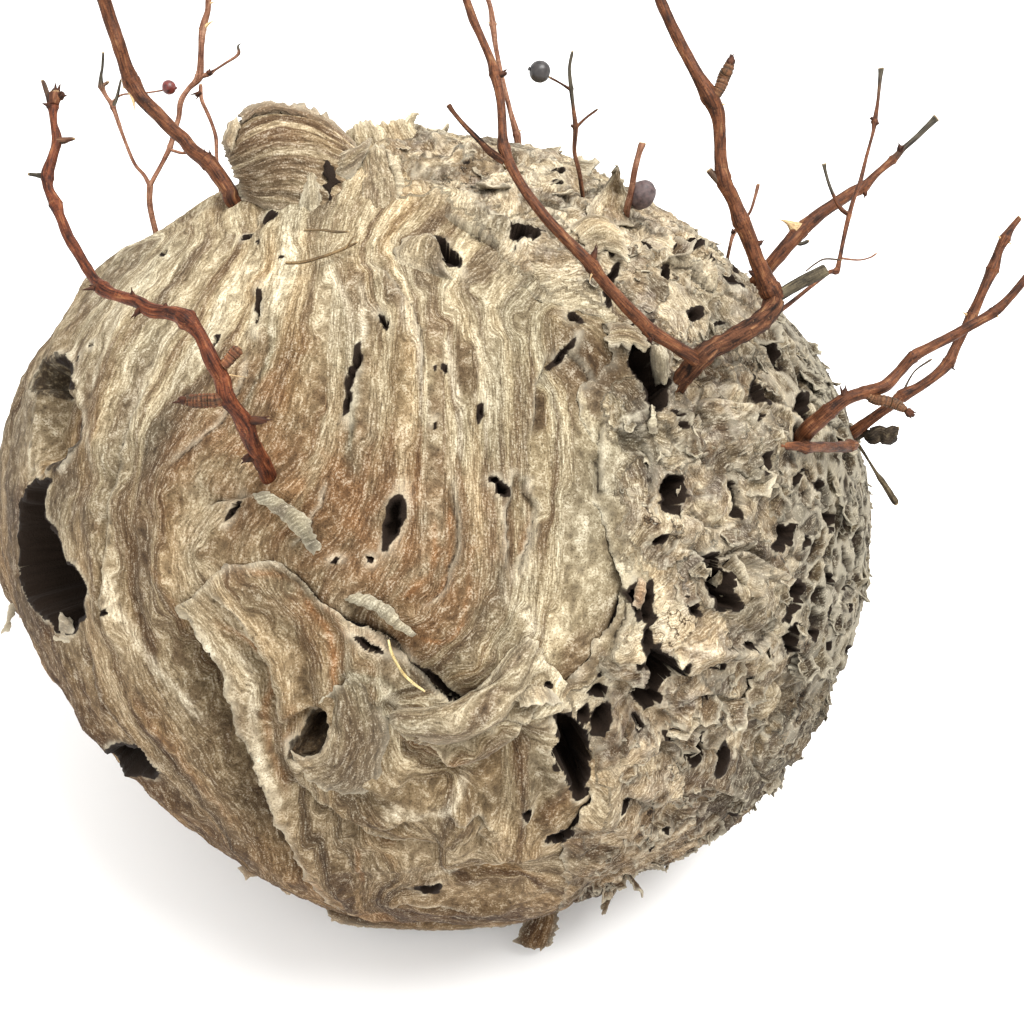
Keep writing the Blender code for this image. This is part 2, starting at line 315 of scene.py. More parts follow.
# the weathered, pocketed paper of the right side and the crown
roughOutline = (
    (345, 108), (372, 158), (392, 205), (440, 215), (478, 262), (540, 300), (600, 318), (612, 360),
    (575, 400), (596, 450), (585, 470), (601, 540), (622, 585), (600, 630), (552, 690), (556, 715),
    (586, 790), (562, 830), (556, 905), (560, 1010), (700, 1000), (950, 860), (1020, 560), (940, 300),
    (800, 160), (560, 40), (360, 40),
)
# guides that the stripes run along: the stripes' own coordinate in mm, and a route
smoothGuides = (
    (0, ((150, 245), (90, 310), (55, 370), (36, 440), (30, 480))),
    (12, ((185, 235), (130, 300), (100, 370), (86, 430), (82, 480))),
    (24, ((235, 235), (190, 290), (150, 350), (128, 420), (122, 470), (116, 540), (112, 600), (130, 680),
          (185, 770), (240, 850), (285, 905))),
    (36, ((262, 250), (225, 320), (190, 380), (162, 430), (142, 480), (143, 540), (152, 600), (185, 680),
          (230, 770), (275, 850), (310, 910))),
    (45, ((290, 262), (272, 330), (240, 400), (205, 455), (180, 500), (170, 560), (180, 620), (215, 690),
          (246, 760), (285, 840))),
    (57, ((320, 262), (326, 340), (312, 420), (280, 480), (235, 520), (205, 560))),
    (68, ((345, 258), (365, 330), (362, 400), (350, 470), (325, 530), (290, 552))),
    (78, ((375, 245), (400, 320), (405, 400), (398, 470), (385, 530), (362, 580), (340, 600))),
    (88, ((405, 240), (432, 320), (438, 400), (435, 480), (430, 560), (408, 606), (380, 622))),
    (98, ((440, 285), (462, 350), (470, 430), (475, 520), (470, 585), (440, 630), (405, 645))),
    (108, ((480, 290), (500, 380), (502, 450), (505, 540), (497, 605), (465, 652), (430, 672))),
    (120, ((520, 310), (535, 400), (537, 480), (533, 560), (525, 622), (492, 672), (455, 698))),
    (133, ((560, 325), (575, 420), (570, 500), (562, 580), (548, 640), (520, 690))),
    (10, ((75, 640), (95, 700), (150, 770), (220, 845), (270, 900))),
    (2, ((50, 650), (72, 715), (130, 785), (200, 850))),
)
flapGuides = (
    (0, ((178, 605), (222, 648), (254, 690), (268, 730), (284, 768), (298, 802), (322, 860), (350, 930))),
    (8, ((205, 588), (250, 636), (278, 684), (292, 738), (314, 800), (346, 870), (366, 920))),
    (16, ((235, 572), (285, 618), (303, 670), (306, 730), (322, 780), (354, 840), (392, 880))),
    (26, ((285, 560), (325, 612), (342, 660), (338, 700), (330, 750), (345, 800), (390, 845), (440, 850))),
    (36, ((338, 604), (362, 650), (372, 700), (365, 750), (378, 790), (412, 800), (440, 775))),
    (44, ((360, 620), (392, 668), (410, 710), (410, 745))),
    (60, ((398, 702), (450, 706), (490, 676), (520, 646))),
    (70, ((410, 738), (455, 742), (502, 708), (542, 664))),
    (34, ((392, 902), (450, 892), (520, 884))),
    (48, ((452, 850), (486, 822), (500, 780), (496, 746))),
    (60, ((520, 850), (534, 800), (534, 744))),
)

# holes and pockets: where, half width, half height, lean in degrees, depth; all sizes in mm
pits = (
    (446, 252, 2.2, 6.4, 32, 11), (518, 239, 4.8, 4.2, -30, 16), (645, 370, 4.6, 12.0, 6, 18),
    (603, 250, 3.4, 2.2, -40, 9), (592, 239, 0.9, 3.6, -34, 5), (613, 275, 1.0, 4.0, -20, 6),
    (634, 330, 2.0, 5.0, -52, 8), (699, 262, 1.2, 3.4, 0, 6), (733, 268, 1.2, 3.0, 10, 6),
    (669, 268, 1.6, 2.2, 20, 5), (721, 322, 3.6, 0.8, 25, 4), (559, 173, 2.2, 1.4, 10, 5),
    (555, 184, 1.4, 1.2, 0, 4), (643, 246, 1.6, 2.4, 0, 5), (576, 316, 1.2, 2.4, 60, 4),
    (562, 352, 0.8, 5.0, -40, 4), (715, 580, 3.8, 9.0, 18, 14), (651, 674, 4.8, 9.0, -4, 16),
    (566, 750, 5.0, 14.0, 16, 20), (640, 598, 2.6, 5.6, 14, 9), (598, 719, 2.4, 5.6, -14, 10),
    (583, 713, 1.5, 2.2, 0, 8), (793, 598, 3.4, 6.5, -14, 12), (792, 640, 3.0, 5.6, 28, 12),
    (734, 719, 3.2, 4.2, -38, 10), (751, 682, 2.0, 2.0, 0, 8), (719, 758, 2.0, 4.4, 0, 8),
    (694, 752, 3.6, 5.0, 10, 7), (560, 832, 3.6, 2.4, 30, 9), (523, 803, 1.5, 1.5, 0, 6),
    (430, 890, 4.6, 2.2, 12, 9), (670, 494, 3.6, 5.2, -25, 11), (803, 542, 2.0, 2.2, 40, 7),
    (828, 521, 3.0, 4.2, 0, 9), (657, 540, 1.8, 1.6, 0, 6), (713, 661, 2.2, 1.6, -40, 6),
    (677, 661, 1.6, 1.6, 0, 6), (767, 352, 3.0, 4.0, 0, 9), (757, 389, 1.6, 5.0, 33, 8),
    (691, 316, 3.0, 2.0, 10, 8), (606, 300, 1.6, 1.6, 0, 5), (681, 254, 4.2, 1.7, 12, 9),
    (732, 284, 2.0, 3.4, 20, 7), (804, 404, 3.6, 5.6, -20, 7), (682, 425, 1.5, 0.9, 0, 5),
    (676, 413, 2.0, 0.6, -10, 4), (817, 487, 2.4, 2.0, 0, 8), (797, 478, 0.9, 3.4, -38, 5),
    (777, 538, 3.4, 4.6, -20, 5), (832, 581, 1.6, 2.2, 0, 7), (847, 587, 1.8, 1.6, 0, 7),
    (828, 610, 2.2, 3.0, 20, 7), (847, 608, 1.4, 1.6, 0, 6), (828, 646, 1.9, 2.2, 0, 7),
    (812, 636, 1.4, 1.4, 0, 6), (847, 648, 1.2, 1.5, 0, 6), (687, 606, 1.1, 4.0, 48, 6),
    (630, 598, 1.4, 4.6, 5, 8), (640, 638, 1.8, 3.4, 0, 12), (672, 730, 3.2, 2.2, 0, 6),
    (599, 689, 2.2, 1.6, -20, 8), (622, 797, 2.6, 1.5, 20, 6), (735, 808, 4.8, 2.2, 25, 8),
    (648, 843, 1.5, 1.2, 0, 5), (665, 828, 1.3, 1.3, 0, 5), (639, 726, 1.4, 2.0, 30, 5),
    (700, 700, 1.0, 2.6, 20, 4), (742, 640, 1.6, 0.9, 10, 4), (355, 372, 1.1, 7.0, -10, 5),
    (350, 405, 1.0, 3.0, -10, 4), (259, 308, 0.8, 4.6, 4, 4), (384, 322, 0.8, 2.6, 30, 4),
    (394, 522, 1.8, 6.0, -12, 7), (446, 368, 0.9, 0.9, 0, 3), (479, 414, 0.7, 2.2, -8, 3),
    (493, 480, 1.4, 1.2, 0, 5), (502, 488, 1.6, 1.8, -20, 5), (371, 642, 0.9, 3.8, 55, 4),
    (445, 690, 1.0, 9.0, 50, 4), (163, 252, 1.2, 0.8, 0, 3), (97, 347, 1.0, 0.6, 20, 3),
    (85, 361, 0.7, 0.9, 0, 3), (247, 237, 1.7, 1.2, 0, 3), (258, 244, 0.6, 0.6, 0, 2),
    (270, 216, 2.6, 1.8, -20, 4), (281, 257, 0.6, 0.6, 0, 2), (218, 342, 0.8, 1.6, -24, 3),
    (112, 609, 0.7, 0.9, -20, 3), (435, 370, 0.5, 0.5, 0, 2), (435, 425, 0.5, 0.7, 0, 2),
    (231, 509, 0.8, 2.4, -30, 4), (338, 560, 1.0, 0.7, 30, 3), (370, 558, 0.8, 0.8, 0, 3),
    (547, 680, 0.9, 0.9, 0, 3), (598, 672, 0.8, 0.7, 0, 3), (752, 420, 1.6, 0.8, 20, 4),
    (756, 465, 1.0, 3.2, -30, 4), (731, 500, 1.0, 4.5, 8, 4),
)
# torn hollows with an outline: depth and slope of the walls in mm, how much shade is painted inside, and
# the outline
hollows = (
    (40.0, 2.0, 1.0, ((35, 478), (59, 478), (47, 500), (50, 516), (59, 542), (64, 562), (75, 564),
                      (90, 592),
                      (81, 603), (82, 616), (75, 622), (71, 635), (57, 632), (50, 622), (40, 612),
                      (27, 596),
                      (16, 566), (14, 530), (18, 500))),
    (9.0, 6.0, 0.1, ((54, 360), (64, 355), (73, 358), (77, 378), (80, 396), (90, 412), (88, 440), (78, 458),
                     (60, 472), (44, 474), (32, 466), (32, 430), (40, 396))),
    (11.0, 4.0, 0.5, ((34, 396), (38, 378), (48, 360), (60, 354), (74, 356), (79, 370), (80, 391),
                      (68, 386),
                      (54, 390), (44, 395))),
    (3.0, 2.0, 0.8, ((62, 358), (73, 357), (79, 371), (80, 390), (70, 385), (66, 372))),
    (5.0, 5.0, 0.5, ((88, 420), (90, 444), (78, 460), (62, 474), (52, 468), (72, 446), (80, 424))),
    (6.0, 6.0, 0.12, ((517, 470), (530, 482), (529, 520), (524, 556), (514, 582), (507, 560), (508, 520),
                      (510, 486))),
    (9.0, 2.0, 0.55, ((302, 726), (318, 706), (328, 722), (327, 740), (318, 753), (303, 757), (292, 750))),
    (12.0, 2.0, 0.9, ((112, 742), (136, 748), (158, 766), (152, 780), (126, 770), (108, 756))),
)
# soft ridges and grooves: height in mm, half width in mm, and the route in pixels
frontFolds = (
    (-14.0, 9.0, ((158, 606), (202, 656), (226, 700), (240, 746), (256, 790), (276, 838), (300, 884))),
    (-3.0, 4.0, ((190, 498), (226, 503), (250, 497))),
    (-1.2, 4.0, ((240, 214), (270, 226), (330, 238), (392, 232))),
    (2.2, 5.0, ((140, 300), (112, 380), (108, 440), (124, 480))),
    (-2.4, 5.0, ((120, 500), (132, 470), (146, 440))),
    (2.4, 6.0, ((112, 470), (100, 540), (104, 610), (122, 660))),
    (-2.0, 4.0, ((132, 520), (128, 590), (146, 650))),
    (2.0, 5.0, ((290, 262), (300, 320), (288, 380), (262, 430))),
    (-1.8, 5.0, ((262, 330), (240, 380), (206, 425))),
    (2.4, 6.0, ((366, 262), (396, 290), (414, 335), (420, 400))),
    (-1.8, 5.0, ((345, 262), (368, 310), (380, 370), (376, 440))),
    (1.8, 5.0, ((470, 320), (486, 400), (490, 470))),
    (-1.6, 4.0, ((452, 330), (462, 410), (466, 480), (458, 560))),
    (-1.8, 5.0, ((510, 330), (512, 400), (514, 440))),
    (1.8, 6.0, ((560, 400), (566, 470), (560, 540), (548, 600))),
    (2.6, 5.0, ((476, 500), (480, 560), (466, 610), (438, 640))),
    (-2.2, 4.0, ((452, 480), (456, 550), (440, 596), (412, 618))),
    (2.0, 4.0, ((428, 500), (424, 560), (404, 598))),
    (-3.2, 5.0, ((350, 606), (384, 646), (430, 690), (462, 706), (500, 690), (536, 650))),
    (4.0, 12.0, ((430, 620), (470, 660), (500, 640))),
    (2.6, 8.0, ((230, 430), (200, 470), (150, 500))),
    (-2.6, 6.0, ((250, 470), (226, 540), (190, 570))),
    (2.2, 7.0, ((60, 300), (110, 262), (160, 246))),
    (2.0, 5.0, ((250, 228), (290, 236), (330, 250))),
    (3.0, 6.0, ((70, 700), (130, 770), (200, 830))),
    (-2.4, 5.0, ((50, 690), (110, 760), (170, 812))),
)
flapFolds = (
    (2.6, 3.6, ((188, 604), (226, 640), (252, 684), (262, 736), (288, 796), (322, 856), (350, 900))),
    (-2.4, 2.6, ((206, 606), (244, 640), (268, 684), (272, 734), (296, 790), (332, 850))),
    (2.8, 3.4, ((216, 590), (262, 628), (288, 668), (292, 724), (306, 776), (346, 838))),
    (-2.0, 2.6, ((240, 596), (284, 632), (304, 676), (308, 720))),
    (3.0, 3.6, ((243, 570), (270, 580), (300, 606), (322, 640), (330, 684), (326, 704))),
    (-2.4, 2.6, ((262, 566), (296, 586), (324, 618), (338, 650))),
    (2.2, 2.6, ((280, 560), (312, 580), (342, 612), (356, 650), (352, 690))),
    (-7.5, 5.6, ((300, 706), (312, 730), (316, 750))),
    (-4.0, 3.2, ((290, 752), (312, 788), (354, 826), (404, 844), (450, 842))),
    (3.6, 6.0, ((346, 720), (352, 752), (372, 776), (398, 772), (404, 738))),
    (-2.4, 2.8, ((340, 748), (356, 780), (384, 796), (412, 780), (420, 750))),
    (2.6, 3.2, ((322, 770), (350, 802), (392, 814), (426, 800), (440, 768))),
    (-2.2, 2.6, ((330, 806), (376, 822), (424, 818))),
    (2.4, 3.4, ((330, 850), (372, 866), (430, 862), (480, 846))),
    (4.6, 4.0, ((534, 644), (512, 672), (482, 702), (450, 722), (412, 726), (384, 716))),
    (-2.0, 2.4, ((542, 662), (516, 700), (484, 726), (446, 736), (408, 732))),
    (4.2, 3.6, ((544, 676), (520, 714), (494, 738), (462, 750), (424, 742))),
    (-4.0, 3.4, ((540, 694), (514, 732), (488, 756), (452, 766), (420, 756))),
    (-3.0, 5.0, ((386, 648), (410, 676), (436, 700))),
    (3.4, 5.0, ((352, 640), (372, 676), (388, 706))),
    (3.2, 3.6, ((506, 738), (516, 718), (534, 716), (548, 738), (556, 786))),
    (-2.4, 2.4, ((498, 750), (504, 790), (500, 826))),
    (2.6, 3.0, ((518, 740), (522, 790), (514, 840), (490, 870))),
    (-2.2, 2.4, ((534, 744), (538, 790), (532, 830))),
    (3.0, 4.0, ((440, 780), (466, 820), (452, 856))),
    (-2.4, 3.0, ((456, 772), (484, 812), (478, 852))),
    (3.4, 3.4, ((480, 808), (500, 824), (516, 840), (546, 846))),
    (-2.6, 2.6, ((450, 880), (490, 872), (530, 870))),
    (2.8, 4.0, ((400, 900), (450, 906), (520, 900))),
    (2.8, 5.0, ((300, 800), (336, 868), (362, 910))),
)
roughFolds = (
    (3.0, 3.0, ((670, 542), (688, 546), (706, 556), (727, 549), (748, 550), (772, 568), (792, 577))),
    (-4.0, 4.0, ((690, 556), (712, 568), (740, 564), (768, 580))),
    (4.0, 7.0, ((744, 572), (752, 600), (748, 630))),
    (4.2, 6.0, ((702, 486), (712, 500), (706, 514))),
    (2.6, 3.0, ((640, 440), (656, 424), (672, 430))),
    (3.0, 4.0, ((660, 470), (690, 456), (740, 440), (790, 452))),
    (2.6, 3.4, ((640, 530), (668, 526), (690, 540))),
    (2.8, 2.6, ((742, 466), (758, 472), (768, 488), (769, 502))),
    (3.0, 3.0, ((650, 640), (670, 660), (690, 650), (720, 646), (750, 642), (770, 628))),
    (2.8, 3.0, ((600, 560), (618, 600), (612, 640))),
    (3.6, 4.0, ((604, 700), (612, 740), (604, 790), (588, 824))),
    (3.0, 4.0, ((640, 710), (664, 730), (690, 720))),
    (-4.0, 5.0, ((620, 696), (640, 712), (650, 740))),
    (3.4, 5.0, ((560, 822), (600, 812), (636, 830))),
    (3.0, 4.0, ((400, 128), (450, 150), (520, 168))),
    (-3.0, 4.0, ((380, 160), (430, 176), (500, 196))),
    (3.0, 4.0, ((470, 220), (530, 240), (580, 280), (602, 300))),
    (-3.4, 4.0, ((590, 262), (622, 290), (640, 330))),
    (3.2, 4.0, ((630, 216), (670, 240), (720, 280))),
    (-3.0, 4.0, ((650, 262), (700, 296), (744, 330))),
)
# edges of paper lying over paper: how far the left side of the route stands up, how soon that
# fades away, the depth of the gap, where shade is painted, and the route
frontLips = (
    (1.6, 9.0, 2.4, ((128, 446), (118, 482), (112, 540), (106, 596), (112, 640))),
    (-1.4, 7.0, 1.6, ((200, 508), (228, 498), (262, 494))),
    (-1.2, 8.0, 1.0, ((366, 262), (392, 282), (410, 308), (421, 340), (424, 390))),
    (-1.4, 8.0, 2.6, ((548, 345), (541, 372), (536, 400), (533, 440))),
    (1.4, 6.0, 2.6, ((557, 347), (575, 354), (590, 378), (606, 400), (614, 424))),
    (2.0, 8.0, 3.0, ((528, 468), (527, 492), (536, 506), (530, 536), (524, 566), (512, 582))),
    (-1.0, 6.0, 1.4, ((516, 466), (510, 500), (507, 548), (512, 578))),
    (1.0, 7.0, 0.8, ((172, 470), (206, 440), (236, 396), (250, 350))),
    (-0.9, 7.0, 0.7, ((330, 480), (318, 520), (292, 548))),
    (0.9, 7.0, 0.7, ((452, 470), (458, 540), (444, 588), (416, 612))),
    (1.2, 7.0, 1.0, ((150, 380), (128, 440), (120, 462))),
    (1.3, 6.0, 1.4, ((84, 640), (104, 700), (150, 760), (200, 812))),
    (1.0, 5.0, 1.0, ((40, 660), (70, 720), (120, 776))),
)
flapLips = (
    (-2.4, 7.0, 2.6, ((346, 602), (368, 622), (392, 646), (430, 686), (462, 706))),
    (2.6, 8.0, 3.0, ((321, 704), (330, 722), (327, 738), (318, 752), (303, 756), (290, 749))),
    (1.8, 8.0, 1.6, ((289, 752), (312, 790), (356, 831), (404, 846), (452, 842))),
    (2.0, 5.0, 1.6, ((385, 717), (409, 732), (432, 744), (458, 757), (486, 750), (512, 722), (541, 684))),
    (1.6, 5.0, 1.6, ((500, 716), (520, 709), (548, 706), (564, 703))),
    (1.4, 6.0, 1.4, ((333, 812), (370, 820), (404, 816))),
    (1.3, 5.0, 1.2, ((452, 804), (462, 812), (478, 812), (490, 826))),
    (1.6, 5.0, 1.6, ((478, 818), (480, 834), (492, 842))),
    (1.4, 6.0, 1.0, ((200, 588), (236, 606), (262, 640), (280, 690), (284, 720))),
    (1.5, 5.0, 1.4, ((380, 904), (420, 900), (470, 904))),
    (1.2, 5.0, 1.0, ((386, 716), (402, 712), (416, 716))),
)
roughLips = (
    (2.4, 6.0, 4.0, ((723, 479), (733, 487), (737, 499), (735, 511), (729, 523))),
    (-2.0, 6.0, 2.4, ((743, 470), (757, 474), (767, 488), (769, 502))),
    (2.0, 5.0, 3.0, ((768, 481), (777, 490), (775, 504), (783, 519))),
    (-2.8, 7.0, 3.4, ((670, 544), (688, 549), (706, 560), (727, 553), (748, 553), (772, 571), (793, 580))),
    (-1.8, 6.0, 2.0, ((679, 511), (692, 521), (710, 527), (728, 524))),
    (2.2, 6.0, 2.4, ((644, 440), (652, 470), (648, 500))),
    (-2.2, 6.0, 2.4, ((706, 640), (723, 644), (747, 641), (768, 631), (782, 640))),
    (1.8, 5.0, 2.4, ((608, 560), (622, 590), (616, 630), (604, 660))),
    (2.0, 5.0, 2.4, ((672, 700), (700, 690), (740, 700))),
    (2.0, 5.0, 2.4, ((620, 790), (660, 800), (700, 784), (740, 790))),
    (-2.0, 5.0, 2.6, ((540, 300), (570, 318), (602, 322), (622, 340))),
    (2.0, 5.0, 2.4, ((440, 216), (480, 236), (500, 246))),
    (2.0, 5.0, 2.6, ((606, 420), (598, 460), (604, 500))),
    (-2.0, 5.0, 2.6, ((700, 398), (740, 404), (780, 420))),
    (2.0, 5.0, 2.4, ((640, 250), (690, 272), (722, 300))),
)

# coloured bands along the stripes: brown above 0, cream below; half width in mm; and the route
stains = (
    # the first band, broad and soft, is a brown stain that is also painted shade over the middle of the
    # front
    (0.9, 32.0, ((190, 390), (300, 480), (380, 560), (460, 650))),
    (1.0, 0.9, ((212, 618), (245, 637), (265, 657), (272, 681), (268, 704), (274, 740), (292, 790))),
    (1.0, 0.8, ((246, 566), (287, 576), (313, 604), (333, 640), (338, 672), (334, 700))),
    (0.7, 0.8, ((431, 500), (434, 555), (425, 578), (398, 600))),
    (0.8, 0.7, ((452, 500), (450, 551), (443, 583), (424, 610))),
    (0.9, 0.5, ((408, 638), (441, 637), (461, 617), (467, 590), (470, 540))),
    (0.6, 0.8, ((322, 786), (349, 820), (382, 826), (408, 806))),
    (0.8, 0.8, ((356, 846), (365, 882))),
    (0.6, 1.2, ((300, 690), (292, 730), (306, 760))),
    (0.6, 1.0, ((342, 806), (366, 836), (400, 850))),
    (0.7, 0.8, ((352, 636), (341, 618), (324, 600))),
    (0.5, 1.4, ((128, 690), (180, 760), (238, 838))),
    (0.5, 1.0, ((150, 560), (172, 600), (176, 640))),
    (0.6, 1.2, ((526, 482), (528, 520), (521, 560))),
    (0.8, 1.4, ((398, 730), (430, 748), (470, 752))),
    (0.6, 1.6, ((300, 870), (350, 900))),
    (-1.0, 1.4, ((180, 606), (215, 648), (240, 700), (258, 760), (292, 826))),
    (-0.8, 0.9, ((224, 636), (252, 664), (262, 700), (266, 740), (290, 800))),
    (-0.8, 1.2, ((340, 676), (352, 670), (380, 676), (400, 704), (410, 714))),
    (-1.0, 1.6, ((540, 650), (514, 684), (484, 712), (450, 732))),
    (-0.8, 1.0, ((360, 270), (362, 330), (356, 400), (348, 470))),
    (-0.8, 1.2, ((330, 266), (350, 320), (346, 380))),
    (-0.9, 1.2, ((446, 330), (458, 400), (462, 470))),
    (-0.7, 1.0, ((474, 330), (484, 400), (488, 460))),
    (-0.7, 1.2, ((280, 268), (276, 330), (252, 396), (226, 440))),
    (-0.8, 1.4, ((398, 300), (420, 360), (424, 430))),
    (-0.6, 1.2, ((168, 262), (118, 330), (96, 400))),
    (-0.6, 1.6, ((190, 300), (150, 370), (130, 430))),
    (-0.8, 1.2, ((86, 330), (78, 350), (84, 392), (96, 440), (104, 480))),
    (-0.9, 1.4, ((110, 560), (116, 604), (150, 660), (200, 730))),
    (-0.6, 1.2, ((532, 600), (524, 640), (500, 676))),
    (-0.7, 1.4, ((498, 560), (506, 600), (520, 610), (540, 640))),
    (-0.7, 1.6, ((380, 806), (440, 806), (470, 770))),
    (-0.6, 1.2, ((420, 880), (480, 868), (540, 860))),
)

coarse = Noise(11)
fine = Noise(23)
warpNoises = (Noise(31), Noise(37), Noise(41))

# what the paper's material reads at each point: the stripes' coordinate in mm, a shift of their
# tone, painted shade (in pits, holes, grooves, under edges and on sheets' backs), how pale a rim is as a
# painted highlight, how weathered, and how brown (below 0, cream) a stain
paperKeys = ("band", "tint", "pit", "rim", "rough", "stain")


# The stripes' coordinate over the front chart, relaxed between the guides on a square grid
def guideField(guides):
    step = 4.0      # mm between the grid's points
    half = 66       # steps from the middle to each side
    ticks = (np.arange(2 * half + 1) - half) * step
    gridX, gridY = np.meshgrid(ticks, ticks)
    points = np.stack([gridX.ravel(), gridY.ravel()], 1)
    value = np.zeros(len(points))
    nearest = np.full(len(points), 1e9)
    for coordinate, route in guides:
        distance, side, along = toPath(points, rounded(route))
        nearer = distance < nearest
        nearest[nearer] = distance[nearer]
        value[nearer] = coordinate
    fixed = (nearest < step * 0.75).reshape(gridX.shape)
    value = value.reshape(gridX.shape)
    pinned = value.copy()
    for turn in range(500):
        padded = np.pad(value, 1, mode='edge')
        value = (padded[:-2, 1:-1] + padded[2:, 1:-1] + padded[1:-1, :-2] + padded[1:-1, 2:]) / 4
        value[fixed] = pinned[fixed]

    def sample(chart):
        place = np.clip(chart / step + half, 0, 2 * half - 1.001)
        cell = place.astype(int)
        f = place - cell
        x, y = cell[:, 0], cell[:, 1]
        low = (1 - f[:, 0]) * value[y, x] + f[:, 0] * value[y, x + 1]
        high = (1 - f[:, 0]) * value[y + 1, x] + f[:, 0] * value[y + 1, x + 1]
        return (1 - f[:, 1]) * low + f[:, 1] * high
    return sample


# The patch of true cells that is joined to the start
def flood(cells, start):
    filled = np.zeros_like(cells)
    filled[start] = True
    count = 0
    while True:
        for turn in range(8):
            grown = filled.copy()
            grown[1:] |= filled[:-1]
            grown[:-1] |= filled[1:]
            grown[:, 1:] |= filled[:, :-1]
            grown[:, :-1] |= filled[:, 1:]
            filled = grown & cells
        total = int(filled.sum())
        if total == count:
            return filled
        count = total


# A stretch of the paper on a square lattice of an equal-area chart
class Sheet:

    def __init__(self, axis, spacing, low, high):
        spacing /= fineness
        ticksX = low[0] + np.arange(int((high[0] - low[0]) / spacing) + 1) * spacing
        ticksY = low[1] + np.arange(int((high[1] - low[1]) / spacing) + 1) * spacing
        gridX, gridY = np.meshgrid(ticksX, ticksY)
        self.shape = gridX.shape
        self.spacing = spacing
        self.chart = np.stack([gridX.ravel(), gridY.ravel()], 1)
        self.direction = directionsAt(self.chart, axis)
        self.base = ballCentre + self.direction * ballRadius(self.direction)[:, None]
        self.base[:, 2] = np.maximum(self.base[:, 2], 0.0)
        self.normal = unit(self.direction / np.array(ball["semiAxes"]) ** 2)
        grid = self.base.reshape(*self.shape, 3)
        self.alongX = (np.gradient(grid, axis=1) / spacing).reshape(-1, 3)
        self.alongY = (np.gradient(grid, axis=0) / spacing).reshape(-1, 3)
        size = len(self.chart)
        self.height = np.zeros(size)
        self.slide = np.zeros((size, 2))     # along the chart, for edges that overhang
        for key in paperKeys:
            setattr(self, key, np.zeros(size))
        # gap: painted shade under the rim, where the edge turns under
        self.gap = np.full(size, 0.9)        # how dark it is under the rim
        self.warp = np.stack([noise.at(self.base, 5.0, 3) for noise in warpNoises], 1)

    # Raises the painted shade or the rim's painted highlight of some points to what is given
    def atLeast(self, key, near, values):
        field = getattr(self, key)
        field[near] = np.maximum(field[near], values)

    # Keeps the cells inside, as one patch with no holes or corner contacts, and draws the
    # vertices of its outline onto the line where inside is 0
    def keep(self, inside):
        corners = (inside > 0).reshape(self.shape)
        cells = corners[:-1, :-1] & corners[1:, :-1] & corners[:-1, 1:] & corners[1:, 1:]
        depth = np.pad(np.where(cells, inside.reshape(self.shape)[:-1, :-1], -1e9), 1, constant_values=-1e9)
        cells = np.pad(cells, 1)
        cells = flood(cells, np.unravel_index(depth.argmax(), depth.shape))
        cells = ~flood(~cells, (0, 0))
        for turn in range(12):
            a, b, c, d = cells[:-1, :-1], cells[:-1, 1:], cells[1:, :-1], cells[1:, 1:]
            falling = a & d & ~b & ~c
            rising = b & c & ~a & ~d
            if not (falling.any() or rising.any()):
                break
            cells[:-1, 1:] |= falling
            cells[:-1, :-1] |= rising
        self.cells = cells[1:-1, 1:-1]
        index = np.arange(len(inside)).reshape(self.shape)
        edges = []
        for missing, start, end in (
                (self.cells & ~cells[:-2, 1:-1], index[:-1, :-1], index[:-1, 1:]),
                (self.cells & ~cells[1:-1, 2:], index[:-1, 1:], index[1:, 1:]),
                (self.cells & ~cells[2:, 1:-1], index[1:, 1:], index[1:, :-1]),
                (self.cells & ~cells[1:-1, :-2], index[1:, :-1], index[:-1, :-1])):
            edges.append(np.stack([start[missing], end[missing]], 1))
        self.edges = np.vstack(edges)
        self.outline = np.unique(self.edges)
        slopeY, slopeX = np.gradient(inside.reshape(self.shape), self.spacing)
        slope = np.stack([slopeX.ravel(), slopeY.ravel()], 1)[self.outline]
        steep = np.maximum(np.linalg.norm(slope, axis=1), 0.3)
        self.inward = slope / steep[:, None]
        out = np.clip(inside[self.outline] / steep, 0, 1.3 * self.spacing)
        self.slide[self.outline] = -self.inward * out[:, None]

    def points(self):
        fade = smooth(0.3, 16.0, self.base[:, 2])
        height = self.height * fade
        points = (self.base + self.normal * height[:, None] + self.alongX * self.slide[:, :1]
                  + self.alongY * self.slide[:, 1:])
        points[:, 2] = np.maximum(points[:, 2], 0.0)
        return points


# Soft ridges and grooves that taper at their ends
def pressFolds(sheet, folds):
    wavy = sheet.chart + sheet.warp[:, :2] * 0.9
    for height, width, route in folds:
        path = rounded(route)
        near = nearPath(wavy, path, 3 * width)
        distance, side, along = toPath(wavy[near], path)
        taper = taperEnds(along, 0.02, 0.22)
        sheet.height[near] += height * np.exp(-(distance / width) ** 2) * taper
        if height < -6:     # so deep that it is dark at its bottom
            # painted shade at the bottom of the groove
            sheet.atLeast("pit", near, 0.34 * np.exp(-(distance / (0.7 * width)) ** 2) * taper)
